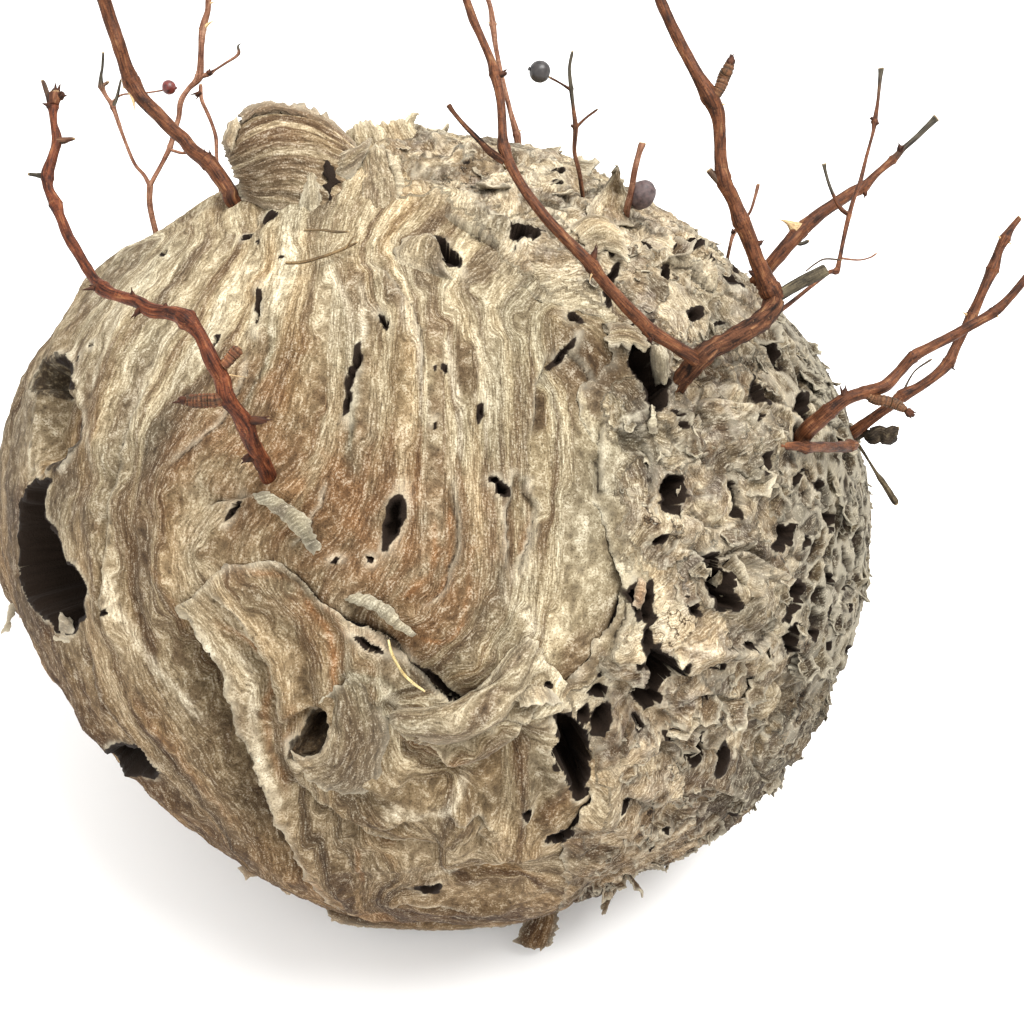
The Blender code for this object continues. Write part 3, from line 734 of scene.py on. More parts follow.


# Edges of paper over paper, with the upper edge pushed out over the gap; painted shade lies in the gap
# and a painted highlight along the upper edge
def pressLips(sheet, lips):
    wavy = sheet.chart + sheet.warp[:, :2] * 0.8
    for step, reach, gap, route in lips:
        path = rounded(route)
        near = nearPath(wavy, path, 2.5 * reach)
        distance, side, along = toPath(wavy[near], path)
        taper = taperEnds(along, 0.01, 0.16)
        up = side if step > 0 else -side
        above = smooth(-1.3, 1.3, up * distance / sheet.spacing)
        sheet.height[near] += abs(step) * taper * np.exp(-distance / reach) * above
        below = 1 - above
        sheet.height[near] -= gap * taper * below * np.exp(-(distance / 1.6) ** 2)
        sheet.atLeast("pit", near, 0.75 * taper * below * np.exp(-(distance / 1.3) ** 2))
        sheet.atLeast("rim", near, 0.7 * taper * above * np.exp(-(distance / 0.9) ** 2))
        # towards the lower side
        last = len(path) - 1
        across = np.gradient(path, axis=0)[np.clip((along * last).astype(int), 0, last)]
        across = np.stack([across[:, 1], -across[:, 0]], 1) * (1 if step > 0 else -1)
        across = unit(across, 1e-6)
        push = 0.9 * taper * np.exp(-distance / 1.4) * np.clip(up * distance / sheet.spacing, -0.8, 1.0)
        sheet.slide[near] += across * push[:, None]


# Torn holes, wider below their rims, with painted shade inside and a painted highlight on the rims
def pressPits(sheet, scale=1.0):
    for x, y, wide, high, lean, depth in pits:
        middle = fromPhoto([(x, y)])[0]
        offset = sheet.chart - middle
        near = np.nonzero(np.hypot(offset[:, 0], offset[:, 1]) < 1.6 * max(wide, high) + 3)[0]
        if not len(near):
            continue
        gap = offset[near] + sheet.warp[near, :2] * min(0.8 * min(wide, high), 3.2)
        a = radians(lean)
        across = (gap[:, 0] * cos(a) + gap[:, 1] * sin(a)) / wide
        along = (-gap[:, 0] * sin(a) + gap[:, 1] * cos(a)) / high
        spread = np.hypot(across, along)
        cell = min(sheet.spacing / min(wide, high), 0.6)
        # the wall drops inside the edge of the painted shade, so the shade covers it from its top
        wall = min(cell, 0.3)     # the wall drops inside the dark rim, so it is dark from its top
        inside = 1 - smooth(1.0 - 1.4 * wall, 1.0 - 0.4 * wall, spread)
        sheet.height[near] -= depth * scale * inside * (0.6 + 0.4 * np.sqrt(1 - np.clip(spread, 0, 1) ** 2))
        dark = 1 - smooth(1 + 0.2 * cell, 1 + cell, spread)
        sheet.atLeast("pit", near, dark * min(1.0, 0.8 + depth / 16))
        edge = np.exp(-(np.maximum(spread - 1, 0) * min(wide, high) / 1.3) ** 2) * (spread > 1)
        edge = edge * smooth(-0.5, 0.7, sheet.warp[near, 2])
        sheet.atLeast("rim", near, 0.8 * edge)
        sheet.height[near] += 0.8 * edge
        away = offset[near] / np.maximum(np.hypot(offset[near, 0], offset[near, 1]), 1e-6)[:, None]
        widen = min(1.6, 0.3 * depth) * smooth(0.45, 0.9, spread) * inside
        sheet.slide[near] += away * (widen - 0.5 * edge)[:, None]


# Larger torn hollows, drawn by their outlines, with painted shade inside and a painted highlight on the
# edge
def pressHollows(sheet):
    wavy = sheet.chart + sheet.warp[:, :2] * 1.3
    for depth, slope, dark, outline in hollows:
        path = fromPhoto(outline)
        near = nearPath(wavy, path, 4)
        if not len(near):
            continue
        into = intoPath(wavy[near], path)
        inside = smooth(1.2, slope + 1.2, into)
        sheet.height[near] -= depth * inside
        sheet.atLeast("pit", near, dark * smooth(-0.9, 0.1, into))
        edge = np.exp(-(np.minimum(into, 0) / 1.2) ** 2) * (into < 0.4)
        edge = edge * smooth(-0.6, 0.5, sheet.warp[near, 2])
        sheet.atLeast("rim", near, 0.8 * edge)
        sheet.height[near] += 0.9 * edge


# Brown and cream bands
def drawStains(sheet):
    wavy = sheet.chart + sheet.warp[:, :2] * 0.7
    for strength, width, route in stains:
        path = rounded(route)
        near = nearPath(wavy, path, 3 * width)
        if not len(near):
            continue
        distance, side, along = toPath(wavy[near], path)
        taper = taperEnds(along, 0.02, 0.15)
        uneven = 0.75 + 0.35 * sheet.warp[near, 2]
        sheet.stain[near] += strength * taper * uneven * np.exp(-(distance / width) ** 2)


# all in mm; the ridges and folds run along the stripes
relief = {
    "ridgeHeight": 0.3, "ridgeWidth": 2.2,
    "foldHeight": 1.1, "foldWidth": 8.5,
    "alongStripes": 42.0,
    "lumpHeight": 2.2, "lumpSize": 34.0,
    "crumpleHeight": 0.8, "crumpleSize": 9.0,
    "grainHeight": 0.26, "grainSize": 2.4,
}


# Low ridges along the stripes, with broader folds under them
def stripeRelief(sheet, band):
    slow = sheet.base / relief["alongStripes"]
    ridge = fine.plain(np.stack([band / relief["ridgeWidth"], slow[:, 0], slow[:, 2]], 1))
    fold = coarse.plain(np.stack([band / relief["foldWidth"], slow[:, 1] * 0.8, slow[:, 2] * 0.8], 1))
    return relief["ridgeHeight"] * ridge + relief["foldHeight"] * fold


# Lumps, crumples and grain, which don't follow the stripes
def paperRelief(sheet):
    return (relief["lumpHeight"] * coarse.at(sheet.base, relief["lumpSize"])
            + relief["crumpleHeight"] * fine.at(sheet.base, relief["crumpleSize"], 2)
            + relief["grainHeight"] * fine.at(sheet.base, relief["grainSize"], 2))


# Scales of paper about an axis, their lips mostly towards the foot of the nest
def makeScales(kind, axis, where):
    random = np.random.default_rng(kind["seed"])
    count = kind["count"]
    scales = []
    middles = np.zeros((0, 3))
    tries = 0
    while len(scales) < count and tries < count * 40:
        tries += 1
        middle = axis + random.normal(0, kind["spread"], 3)
        middle /= np.linalg.norm(middle)
        if random.random() > where(middle):
            continue
        long = random.uniform(*kind["long"])
        if len(middles) and (middles @ middle).max() > cos(0.45 * long / ball["chartSize"]):
            continue
        middles = np.vstack([middles, middle])
        down = np.array([0.15, 0.1, -1.0])
        side = np.cross(middle, down)
        side /= np.linalg.norm(side)
        down = np.cross(side, middle)
        turn = random.normal(0.0, 1.0)
        lip = cos(turn) * down + sin(turn) * side
        scales.append({
            "middle": middle, "lip": lip, "side": np.cross(lip, middle), "long": long,
            "wide": random.uniform(*kind["wide"]),
            "lift": random.uniform(*kind["lift"]),
            "dome": random.uniform(0.3, 1.6),
            "level": random.normal(*kind["level"]),
            "start": random.uniform(0, 200),
            "tint": random.uniform(-1, 1),
        })
    return scales


# Raises the sheet to the highest of the scales that cover it; their lips overhang, and their
# stripes are arcs along the lip; shade is painted under the lips and a highlight on their thin edges
def layScales(sheet, scales, ragged=1.5):
    top = np.full(len(sheet.chart), -6.0)
    owner = np.full(len(sheet.chart), -1)
    size = ball["chartSize"]
    flat = sheet.base + sheet.warp * ragged
    places = []
    for k, scale in enumerate(scales):
        toward = sheet.direction @ scale["middle"]
        near = np.nonzero(toward > cos(1.3 * max(scale["long"], scale["wide"]) / size))[0]
        offset = flat[near] - (ballCentre + scale["middle"] * ballRadius(scale["middle"][None])[0])
        x = offset @ scale["lip"] / scale["long"]
        y = offset @ scale["side"] / scale["wide"]
        spread = np.hypot(x, y)
        soft = 0.9 * sheet.spacing / min(scale["long"], scale["wide"])
        height = (scale["level"] + scale["lift"] * (0.45 + 0.55 * x) - scale["dome"] * y ** 2
                  - 9.0 * smooth(1.0 - soft, 1.0 + soft, spread))
        higher = (spread < 1 + soft) & (height > top[near])
        chosen = near[higher]
        top[chosen] = height[higher]
        owner[chosen] = k
        places.append((near, spread, x, height, offset))
    for k, (scale, (near, spread, x, height, offset)) in enumerate(zip(scales, places)):
        length = np.maximum(np.linalg.norm(offset, axis=1), 1e-6)[:, None]
        away = np.stack([offset @ pictureRight, offset @ pictureUp], 1) / length
        mine = owner[near] == k
        lip = smooth(-0.3, 0.4, x)
        edge = smooth(0.75, 1.0, spread) * lip * mine
        root = offset[mine] + scale["lip"] * scale["long"] * 1.1
        sheet.band[near[mine]] = scale["start"] + np.linalg.norm(root, axis=1) * 1.15
        sheet.tint[near[mine]] = scale["tint"]
        thin = smooth(0.9, 1.0, spread) * smooth(-0.5, 0.6, sheet.warp[near, 1])
        sheet.atLeast("rim", near, thin * lip * mine)
        gap = height - top[near]
        below = ~mine & (spread < 1.35) & (gap > 0.7)
        under = below * lip * (1 - smooth(0.95, 1.35, spread))
        sheet.slide[near] += away * (edge * 0.9 - under * 0.8)[:, None]
        sheet.atLeast("pit", near, 0.8 * under * smooth(0.7, 2.5, gap))
        top[near] -= 0.8 * under
    return top


# Cells with crests between them: shallow bowls of paper, or open pockets with thick walls;
# painted shade in the open pockets and a painted highlight on the crests
def pressPockets(sheet, kind, weight):
    random = np.random.default_rng(kind["seed"])
    count, size = kind["count"], kind["size"]
    shallowest, deepest = kind["depth"]
    middles = unit(random.normal(0, 1, (count, 3)))
    places = ballCentre + middles * ballRadius(middles)[:, None]
    tree = kdtree.KDTree(count)
    for k, place in enumerate(places):
        tree.insert(place, k)
    tree.balance()
    depth = random.uniform(0, 1, count) ** 1.6 * (deepest - shallowest) + shallowest
    tint = random.uniform(-1, 1, count)
    used = np.nonzero(weight > 0.03)[0]
    wavy = sheet.base[used] + sheet.warp[used] * 0.3 * size
    cell = np.zeros(len(used), int)
    crest = np.zeros(len(used))
    for i, point in enumerate(wavy):
        (a, k, first), (b, other, second) = tree.find_n(point, 2)
        cell[i] = k
        crest[i] = (second - first) / size
    share = weight[used]
    relative = depth[cell] / deepest
    if kind["open"]:
        deep = smooth(0.16, 0.66, crest)
        dark = np.minimum(1.6 * relative, 1.0) * smooth(0.2, 0.62, crest)
        sheet.atLeast("pit", used, share * dark)
        sheet.atLeast("rim", used, 0.5 * share * (1 - smooth(0.1, 0.24, crest)))
    else:
        deep = 1 - (1 - np.minimum(crest, 1)) ** 2
        sheet.atLeast("rim", used, 0.7 * share * relative * (1 - smooth(0.02, 0.12, crest)))
    sheet.height[used] -= share * depth[cell] * deep
    sheet.tint[used] += share * tint[cell]


# Writes one value per vertex
def store(mesh, key, values):
    data = mesh.attributes.new(key, 'FLOAT', 'POINT').data
    data.foreach_set("value", values.astype(np.float32))


# Puts a mesh in the scene as the looks of a node of the CAD
def addPiece(name, mesh, node):
    piece = bpy.data.objects.new(name, mesh)
    scene.collection.objects.link(piece)
    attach(piece, "root")
    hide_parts(node)
    return piece


# Four-sided faces of a grid, from the numbers of its points
def gridFaces(index, cells=slice(None)):
    corners = (index[:-1, :-1], index[:-1, 1:], index[1:, 1:], index[1:, :-1])
    return np.stack([corner[cells] for corner in corners], -1).reshape(-1, 4)


# One closed solid: the sheet's relief, a thin edge that turns under, and a fan to the middle
def nestPaper(name, sheet):
    points = sheet.points()
    quads = gridFaces(np.arange(len(points)).reshape(sheet.shape), sheet.cells)
    rim = sheet.outline
    alongX, alongY = sheet.alongX[rim], sheet.alongY[rim]
    inward = unit(alongX * sheet.inward[:, :1] + alongY * sheet.inward[:, 1:], 1e-6)
    normal = sheet.normal[rim]
    rings = [
        points[rim] + inward * 0.3 - normal * 0.45,
        points[rim] + inward * 1.2 - normal * 1.6,
        points[rim] + inward * 1.6 - sheet.direction[rim] * 22.0,
    ]
    for ring, floor in zip(rings, (0.02, 0.05, 0.3)):
        ring[:, 2] = np.maximum(ring[:, 2], floor)
    used = np.unique(quads)
    renumber = np.full(len(points), -1)
    renumber[used] = np.arange(len(used))
    onRing = np.full(len(points), -1)
    onRing[rim] = np.arange(len(rim))
    a, b = onRing[sheet.edges[:, 0]], onRing[sheet.edges[:, 1]]
    base = len(used)
    count = len(rim)
    strips = [renumber[quads],
              np.stack([renumber[sheet.edges[:, 1]], renumber[sheet.edges[:, 0]], base + a, base + b], 1)]
    for ring in range(2):
        upper, lower = base + ring * count, base + (ring + 1) * count
        strips.append(np.stack([upper + b, upper + a, lower + a, lower + b], 1))
    lower = base + 2 * count
    faces = np.vstack(strips)
    fan = np.stack([lower + b, lower + a, np.full(len(a), base + 3 * count)], 1)
    vertices = np.vstack([points[used]] + rings + [ballCentre[None] * (1, 1, 0.9)]) * mm
    mesh = bpy.data.meshes.new(name)
    mesh.vertices.add(len(vertices))
    mesh.vertices.foreach_set("co", vertices.ravel())
    corners = np.concatenate([faces.ravel(), fan.ravel()])
    starts = np.concatenate([np.arange(len(faces)) * 4, len(faces) * 4 + np.arange(len(fan)) * 3])
    mesh.loops.add(len(corners))
    mesh.loops.foreach_set("vertex_index", corners.astype(np.int32))
    mesh.polygons.add(len(starts))
    mesh.polygons.foreach_set("loop_start", starts.astype(np.int32))
    mesh.update(calc_edges=True)
    mesh.shade_smooth()
    # painted shade: the two deeper rings under the edge take the sheet's gap, and the middle 0.9
    for key in paperKeys:
        values = getattr(sheet, key)
        edge = values[rim]
        under = sheet.gap[rim] if key == "pit" else edge
        store(mesh, key, np.concatenate([values[used], edge, under, under, [0.9 if key == "pit" else 0.0]]))
    mesh.materials.append(paperFinish)
    print("  ", name, len(mesh.polygons), "faces")
    return addPiece(name, mesh, "nest")


# Adds a node with its settings and input values, and links other nodes' outputs to its inputs
def addNode(tree, kind, settings=None, inputs=None, links=None):
    node = tree.nodes.new(kind)
    for key, value in (settings or {}).items():
        setattr(node, key, value)
    for key, value in (inputs or {}).items():
        node.inputs[key].default_value = value
    for key, source in (links or {}).items():
        tree.links.new(source, node.inputs[key])
    return node


# A material and its shader
def newMaterial(name, roughness):
    material = bpy.data.materials.new(name)
    material.use_nodes = True
    shader = material.node_tree.nodes["Principled BSDF"]
    shader.inputs["Roughness"].default_value = roughness
    return material, shader


# Gives an input of a node a value, or links it to another node's output
def feed(tree, node, slot, value):
    if hasattr(value, "is_linked"):
        tree.links.new(value, node.inputs[slot])
    else:
        node.inputs[slot].default_value = value


# Arithmetic with numbers or outputs, such as a * b + c
def calc(tree, operation, a, b=0.0, c=0.0, clamp=False):
    node = addNode(tree, "ShaderNodeMath", {"operation": operation, "use_clamp": clamp})
    for slot, value in enumerate((a, b, c)):
        feed(tree, node, slot, value)
    return node.outputs[0]


# Colour a with colour b laid over it by a factor
def blend(tree, kind, factor, a, b):
    node = addNode(tree, "ShaderNodeMix", {"data_type": 'RGBA', "blend_type": kind})
    for slot, value in ((0, factor), (6, a), (7, b)):
        feed(tree, node, slot, value)
    return node.outputs[2]


# Colours at places along a value from 0 to 1
def ramp(tree, source, stops):
    node = addNode(tree, "ShaderNodeValToRGB", links={"Fac": source})
    while len(node.color_ramp.elements) < len(stops):
        node.color_ramp.elements.new(0.5)
    for element, (place, colour) in zip(node.color_ramp.elements, stops):
        element.position = place
        element.color = linear(colour)
    return node.outputs[0]


# A value that goes from 0 to strength while the source goes from start to end
def between(tree, source, start, end, strength=1.0, kind='LINEAR'):
    return addNode(tree, "ShaderNodeMapRange", {"interpolation_type": kind},
                   {"From Min": start, "From Max": end, "To Min": 0.0, "To Max": strength},
                   {"Value": source}).outputs[0]


# Gives a shader its colour, and a bump of so many mm
def dress(tree, shader, colour, height, strength, depth):
    tree.links.new(colour, shader.inputs["Base Color"])
    bump = addNode(tree, "ShaderNodeBump", inputs={"Strength": strength, "Distance": depth * mm},
                   links={"Height": height})
    tree.links.new(bump.outputs["Normal"], shader.inputs["Normal"])


paper = {
    "stripeWidth": 4.2,        # mm, one load of chewed wood
    "stripeLength": 46.0,
    "fibreWidth": 0.55,        # mm, drawn coarser than real fibres so that they show
    "fibreLength": 3.4,
    "speckSize": 0.55,
    "stripeColours": ((0.0, "66543F"), (0.26, "806E56"), (0.42, "94856B"), (0.56, "A89A7E"),
                      (0.72, "BFB296"), (1.0, "D6CBAF")),
    "hueWidth": 7.5,           # mm, brown and grey loads of wood side by side
    "hueTones": ((0.3, "D6D8DC"), (0.43, "F6F7F8"), (0.54, "FFFCF6"), (0.7, "E6CEAE")),
    "roughColours": ((0.0, "453628"), (0.3, "695845"), (0.55, "8D7B63"), (0.8, "AD9B80"), (1.0, "C9BA9E")),
    "crackWidth": 0.01,
    "lilacColour": "887E76",
    "rightColour": "77705C",
    "rightRange": (0.095, 0.14),     # m along x, from none of it to all
    # painted shade towards the foot and the left
    "footShadeColour": "A8917A",
    "footShadeRange": (0.2, 0.07),        # m along z
    "weatherColour": "87826E",
    "stainColour": "8E6844",
    "creamColour": "EBE2CA",
    "shadeColour": "1C1209",
    "gloss": 0.2,
    # thin torn rims and crests: painted highlight
    "rimHighlightColour": "E8DEC4",
    # where shade is painted on the paper: pixel, reach in mm, how much
    "shadedPlaces": (((290, 450), 50.0, 1.0), ((370, 590), 46.0, 1.0), ((588, 440), 56.0, 0.6)),
    "placeShadeColour": "CED1D0",
}


# The place on the ball behind a pixel, in mm
def ballPlace(pixel):
    direction = directionsAt(fromPhoto((pixel,)), toCamera)[0]
    return ballCentre + direction * ballRadius(direction[None])[0]


# Chewed wood fibre, dried: matt and felted, laid down in stripes of cream, tan and grey; with painted
# shade in pits, under edges, towards the foot and round some places, and painted highlight on rims
def paperMaterial():
    material, shader = newMaterial("dry wasp paper of chewed wood fibre", 0.92)
    tree = material.node_tree
    place = tree.nodes.new("ShaderNodeTexCoord").outputs["Object"]
    values = {}
    for key in paperKeys:
        values[key] = addNode(tree, "ShaderNodeAttribute", {"attribute_name": key}).outputs["Fac"]

    def blotches(size, detail=2.0, roughness=0.5):
        return addNode(tree, "ShaderNodeTexNoise",
                       inputs={"Scale": 1 / (size * mm), "Detail": detail, "Roughness": roughness},
                       links={"Vector": place}).outputs["Fac"]

    # noise that is short across the stripes and long along them
    def streaks(band, width, length, detail, roughness=0.5):
        moved = addNode(tree, "ShaderNodeMapping", inputs={"Scale": (1 / (length * mm),) * 3},
                        links={"Vector": place}).outputs[0]
        return addNode(tree, "ShaderNodeTexNoise", {"noise_dimensions": '4D'},
                       {"Scale": 1.0, "Detail": detail, "Roughness": roughness},
                       {"Vector": moved, "W": calc(tree, 'DIVIDE', band, width)}).outputs["Fac"]

    # the stripes wander a little
    wander = calc(tree, 'MULTIPLY_ADD', blotches(11.0, 2.0), 5.0, values["band"])
    stripes = streaks(wander, paper["stripeWidth"], paper["stripeLength"], 2.2, 0.52)
    tinted = calc(tree, 'MULTIPLY_ADD', values["tint"], 0.07, stripes)
    stripeColour = ramp(tree, calc(tree, 'MULTIPLY_ADD', tinted, 2.9, -0.95), paper["stripeColours"])
    hues = streaks(calc(tree, 'ADD', wander, 311.0), paper["hueWidth"], 60.0, 1.0)
    stripeColour = blend(tree, 'MULTIPLY', 0.7, stripeColour, ramp(tree, hues, paper["hueTones"]))
    patch = calc(tree, 'MULTIPLY_ADD', values["tint"], 0.11, blotches(9.0, 4.0, 0.6))
    roughColour = ramp(tree, calc(tree, 'MULTIPLY_ADD', patch, 2.8, -0.9), paper["roughColours"])
    colour = blend(tree, 'MIX', calc(tree, 'MULTIPLY', values["rough"], 0.75), stripeColour, roughColour)
    greyer = calc(tree, 'MULTIPLY', values["rough"],
                  ramp(tree, blotches(7.0, 3.0, 0.6), ((0.5, "000000"), (0.62, "B0B0B0"))))
    colour = blend(tree, 'MIX', greyer, colour, linear(paper["lilacColour"]))
    # thin dark cracks where weathered plates part
    parting = calc(tree, 'ABSOLUTE', calc(tree, 'SUBTRACT', blotches(7.0, 3.0, 0.55), 0.5))
    crack = ramp(tree, parting, ((0.0, "46382A"), (paper["crackWidth"], "968A7C"),
                                 (2.2 * paper["crackWidth"], "FFFFFF")))
    patches = ramp(tree, blotches(15.0), ((0.49, "000000"), (0.6, "FFFFFF")))
    cracked = calc(tree, 'MULTIPLY', values["rough"], patches)
    colour = blend(tree, 'MULTIPLY', cracked, colour, crack)
    # broad weathering to a greenish grey; painted shade, darker and browner towards the foot and the left
    weather = ramp(tree, blotches(22.0, 3.0), ((0.44, "000000"), (0.7, "A0A0A0")))
    colour = blend(tree, 'MIX', weather, colour, linear(paper["weatherColour"]))
    axes = addNode(tree, "ShaderNodeSeparateXYZ", links={"Vector": place}).outputs
    foot = between(tree, calc(tree, 'MULTIPLY_ADD', axes["X"], 0.4, axes["Z"]), *paper["footShadeRange"])
    colour = blend(tree, 'MULTIPLY', foot, colour, linear(paper["footShadeColour"]))
    for pixel, reach, strength in paper["shadedPlaces"]:
        away = addNode(tree, "ShaderNodeVectorMath", {"operation": 'DISTANCE'},
                       {1: ballPlace(pixel) * mm}, {0: place}).outputs["Value"]
        placeShade = between(tree, away, reach * mm, 0.3 * reach * mm, strength, 'SMOOTHSTEP')
        colour = blend(tree, 'MULTIPLY', placeShade, colour, linear(paper["placeShadeColour"]))
    edge = calc(tree, 'MULTIPLY_ADD', blotches(14.0), 0.03, axes["X"])
    right = between(tree, edge, *paper["rightRange"], 0.85)
    colour = blend(tree, 'MULTIPLY', right, colour, linear(paper["rightColour"]))
    brown = calc(tree, 'MULTIPLY', values["stain"], 0.75, clamp=True)
    colour = blend(tree, 'MIX', brown, colour, linear(paper["stainColour"]))
    cream = calc(tree, 'MULTIPLY', values["stain"], -0.7, clamp=True)
    colour = blend(tree, 'MIX', cream, colour, linear(paper["creamColour"]))
    # felted fibres, light and dark, and specks
    fibres = streaks(values["band"], paper["fibreWidth"], paper["fibreLength"], 2.0, 0.6)
    fibreTone = ramp(tree, fibres, ((0.3, "7E7264"), (0.44, "BEB6AA"), (0.56, "F0EDE8"), (0.66, "FFFFFF")))
    colour = blend(tree, 'MULTIPLY', 0.8, colour, fibreTone)
    specks = blotches(paper["speckSize"], 2.0, 0.7)
    speckTone = ramp(tree, specks, ((0.3, "6A5E50"), (0.41, "CFC8BD"), (0.5, "FFFFFF")))
    colour = blend(tree, 'MULTIPLY', 0.7, colour, speckTone)
    pale = ramp(tree, calc(tree, 'MULTIPLY_ADD', fibres, 0.5, calc(tree, 'MULTIPLY', specks, 0.5)),
                ((0.53, "000000"), (0.66, "909090")))
    colour = blend(tree, 'MIX', pale, colour, linear(paper["creamColour"]))
    # painted highlight on thin torn rims; painted shade, dark brown, in pits, holes and under edges
    thin = calc(tree, 'MULTIPLY', values["rim"], 0.5)
    colour = blend(tree, 'MIX', thin, colour, linear(paper["rimHighlightColour"]))
    ragged = calc(tree, 'MULTIPLY_ADD', blotches(1.3, 2.0), 0.36, calc(tree, 'ADD', values["pit"], -0.18))
    shaded = ramp(tree, ragged, ((0.02, "000000"), (0.42, "8A8A8A"), (0.5, "E4E4E4"), (0.7, "FFFFFF")))
    colour = blend(tree, 'MIX', shaded, colour, linear(paper["shadeColour"]))
    bumps = calc(tree, 'ADD', calc(tree, 'ADD', fibres, specks), calc(tree, 'MULTIPLY', stripes, 1.5))
    dress(tree, shader, colour, bumps, 0.8, 0.5)
    shader.inputs["Specular IOR Level"].default_value = paper["gloss"]
    return material


paperFinish = paperMaterial()
print("stage: paper material")

flapPath = fromPhoto(flapOutline)
roughPath = fromPhoto(roughOutline)
smoothBand = guideField(smoothGuides)
flapBand = guideField(flapGuides)
print("stage: stripe guides")


# the sheets' charts: mm between the points, and two opposite corners in mm
charts = {
    "front": (0.97, (-218, -218), (130, 218)),
    "flap": (0.66, (-98, -190), (72, -10)),
    "rough": (0.82, (-60, -218), (218, 218)),
    "back": (1.2, (-205, -205), (205, 205)),
}
# where the sheets overlap, in mm
overlap = {
    "runOn": 8.0,          # how far a sheet runs on below the one that lies over it
    "sink": 4.5,           # how much lower it lies there
    "sinkWithin": 5.0,
    "frontReach": 208,     # from the middle of the chart to the ragged edge over the far side
    "frontRagged": 7.0,
    "backReach": 200,
}
# scales: how far they stray from their axis; ranges of length, width and lift of the lip in mm;
# and the mean and spread of their level in mm
scaleKinds = {
    "torn plates": {"seed": 5, "count": 110, "spread": 0.7, "long": (14, 28), "wide": (10, 20),
                    "lift": (0.8, 2.6), "level": (0.0, 0.5)},
    "small shreds": {"seed": 6, "count": 130, "spread": 0.7, "long": (5, 10), "wide": (4, 8),
                     "lift": (0.6, 1.6), "level": (0.2, 0.5)},
    "far side scales": {"seed": 15, "count": 90, "spread": 0.75, "long": (24, 46), "wide": (20, 40),
                        "lift": (2.5, 5.0), "level": (0.0, 0.6)},
    "far side shreds": {"seed": 16, "count": 700, "spread": 0.8, "long": (6, 15), "wide": (5, 12),
                        "lift": (1.2, 3.8), "level": (1.0, 1.0)},
}
# bowls and pockets: how many on the whole ball, their size and range of depth in mm, and
# whether they are open pockets with thick walls
pocketKinds = {
    "broad bowls": {"seed": 73, "count": 1500, "size": 12.8, "depth": (0.2, 4.2), "open": False},
    "far side bowls": {"seed": 73, "count": 1500, "size": 12.8, "depth": (0.2, 3.6), "open": False},
    "small bowls": {"seed": 72, "count": 6000, "size": 6.4, "depth": (0.0, 1.6), "open": False},
    "sponge": {"seed": 71, "count": 3600, "size": 8.2, "depth": (0.8, 7.0), "open": True},
}


# How weathered the paper is in a direction: 1 at the right and the crown, 0 on the smooth front
def roughPlace(middle):
    if middle @ toCamera < -0.2:
        return float(smooth(-0.1, 0.5, middle[0] * 0.8 + middle[2] * 0.6 - 0.1))
    return 1.0 if intoPath(chartAt(middle[None]), roughPath)[0] > -6 else 0.0


def anyPlace(middle):
    return 1.0


# How spongy it is: towards the right edge
def sponge(sheet):
    return smooth(0.79, 0.90, sheet.direction @ np.array((0.96, -0.1, 0.22)) + 0.04 * sheet.warp[:, 0])


# Gives a sheet of the front its folds, lips and torn holes
def pressFront(sheet, folds, lips):
    pressFolds(sheet, folds)
    pressLips(sheet, lips)
    pressPits(sheet)
    pressHollows(sheet)
    drawStains(sheet)


# Thin crests between shallow folds, where weathered paper has shrunk
def wrinkles(sheet, size, stretch):
    folded = fine.at(sheet.base * stretch + sheet.warp * 1.2, size, 2)
    return (1 - np.minimum(1, np.abs(folded) * 2.4)) ** 1.5


# Where the seam under the crown is closed: 0 below it, 1 above
def underCrown(sheet):
    return smooth(45.0, 75.0, sheet.chart[:, 1])


# Distance to the ragged edge where the front's paper lies over the far side's
def beforeBack(sheet):
    beyond = np.hypot(sheet.chart[:, 0], sheet.chart[:, 1])
    ragged = overlap["frontRagged"] * coarse.at(sheet.base, 30.0)
    return overlap["frontReach"] + ragged + 1.5 * sheet.warp[:, 0] - beyond


# Striped paper of the left and the middle, which the other sheets lie over
def frontSheet():
    sheet = Sheet(toCamera, *charts["front"])
    ragged = sheet.chart + sheet.warp[:, :2] * 1.2
    cover = np.maximum(intoPath(ragged, flapPath), intoPath(ragged, roughPath))
    sheet.band = smoothBand(sheet.chart) - 0.8 * np.maximum(np.linalg.norm(sheet.chart, axis=1) - 165, 0)
    sheet.height = stripeRelief(sheet, sheet.band) + paperRelief(sheet)
    pressFront(sheet, frontFolds, frontLips)
    loose = 1 - 0.85 * underCrown(sheet)
    sheet.height -= overlap["sink"] * loose * smooth(0.0, overlap["sinkWithin"], cover)
    # painted shade where this paper runs on under the sheets that lie over it
    sheet.pit = np.maximum(sheet.pit, 0.6 * loose * smooth(0.2, 3.0, cover))
    sheet.keep(np.minimum(overlap["runOn"] - cover, beforeBack(sheet)))
    return sheet


# The big flap at the lower front and the bowls beside it
def flapSheet():
    sheet = Sheet(toCamera, *charts["flap"])
    ragged = sheet.chart + sheet.warp[:, :2] * 1.2
    into = intoPath(ragged, flapPath)
    cover = intoPath(ragged, roughPath)
    sheet.band = flapBand(sheet.chart)
    sheet.height = stripeRelief(sheet, sheet.band) + paperRelief(sheet)
    leftLip, side, along = toPath(sheet.chart, fromPhoto(flapOutline[:8]))
    lifted = smooth(0.0, 0.3, along) * smooth(1.1, 0.6, along)
    sheet.height += 5.0 * lifted * np.exp(-leftLip / 9.0) + 0.6
    pressFront(sheet, flapFolds, flapLips)
    # painted highlight along the flap's torn edge
    sheet.rim = np.maximum(sheet.rim, 0.7 * np.exp(-np.maximum(into, 0) / 0.9))
    sheet.height -= overlap["sink"] * smooth(0.0, overlap["sinkWithin"], cover)
    sheet.keep(np.minimum(into, overlap["runOn"] - cover))
    return sheet


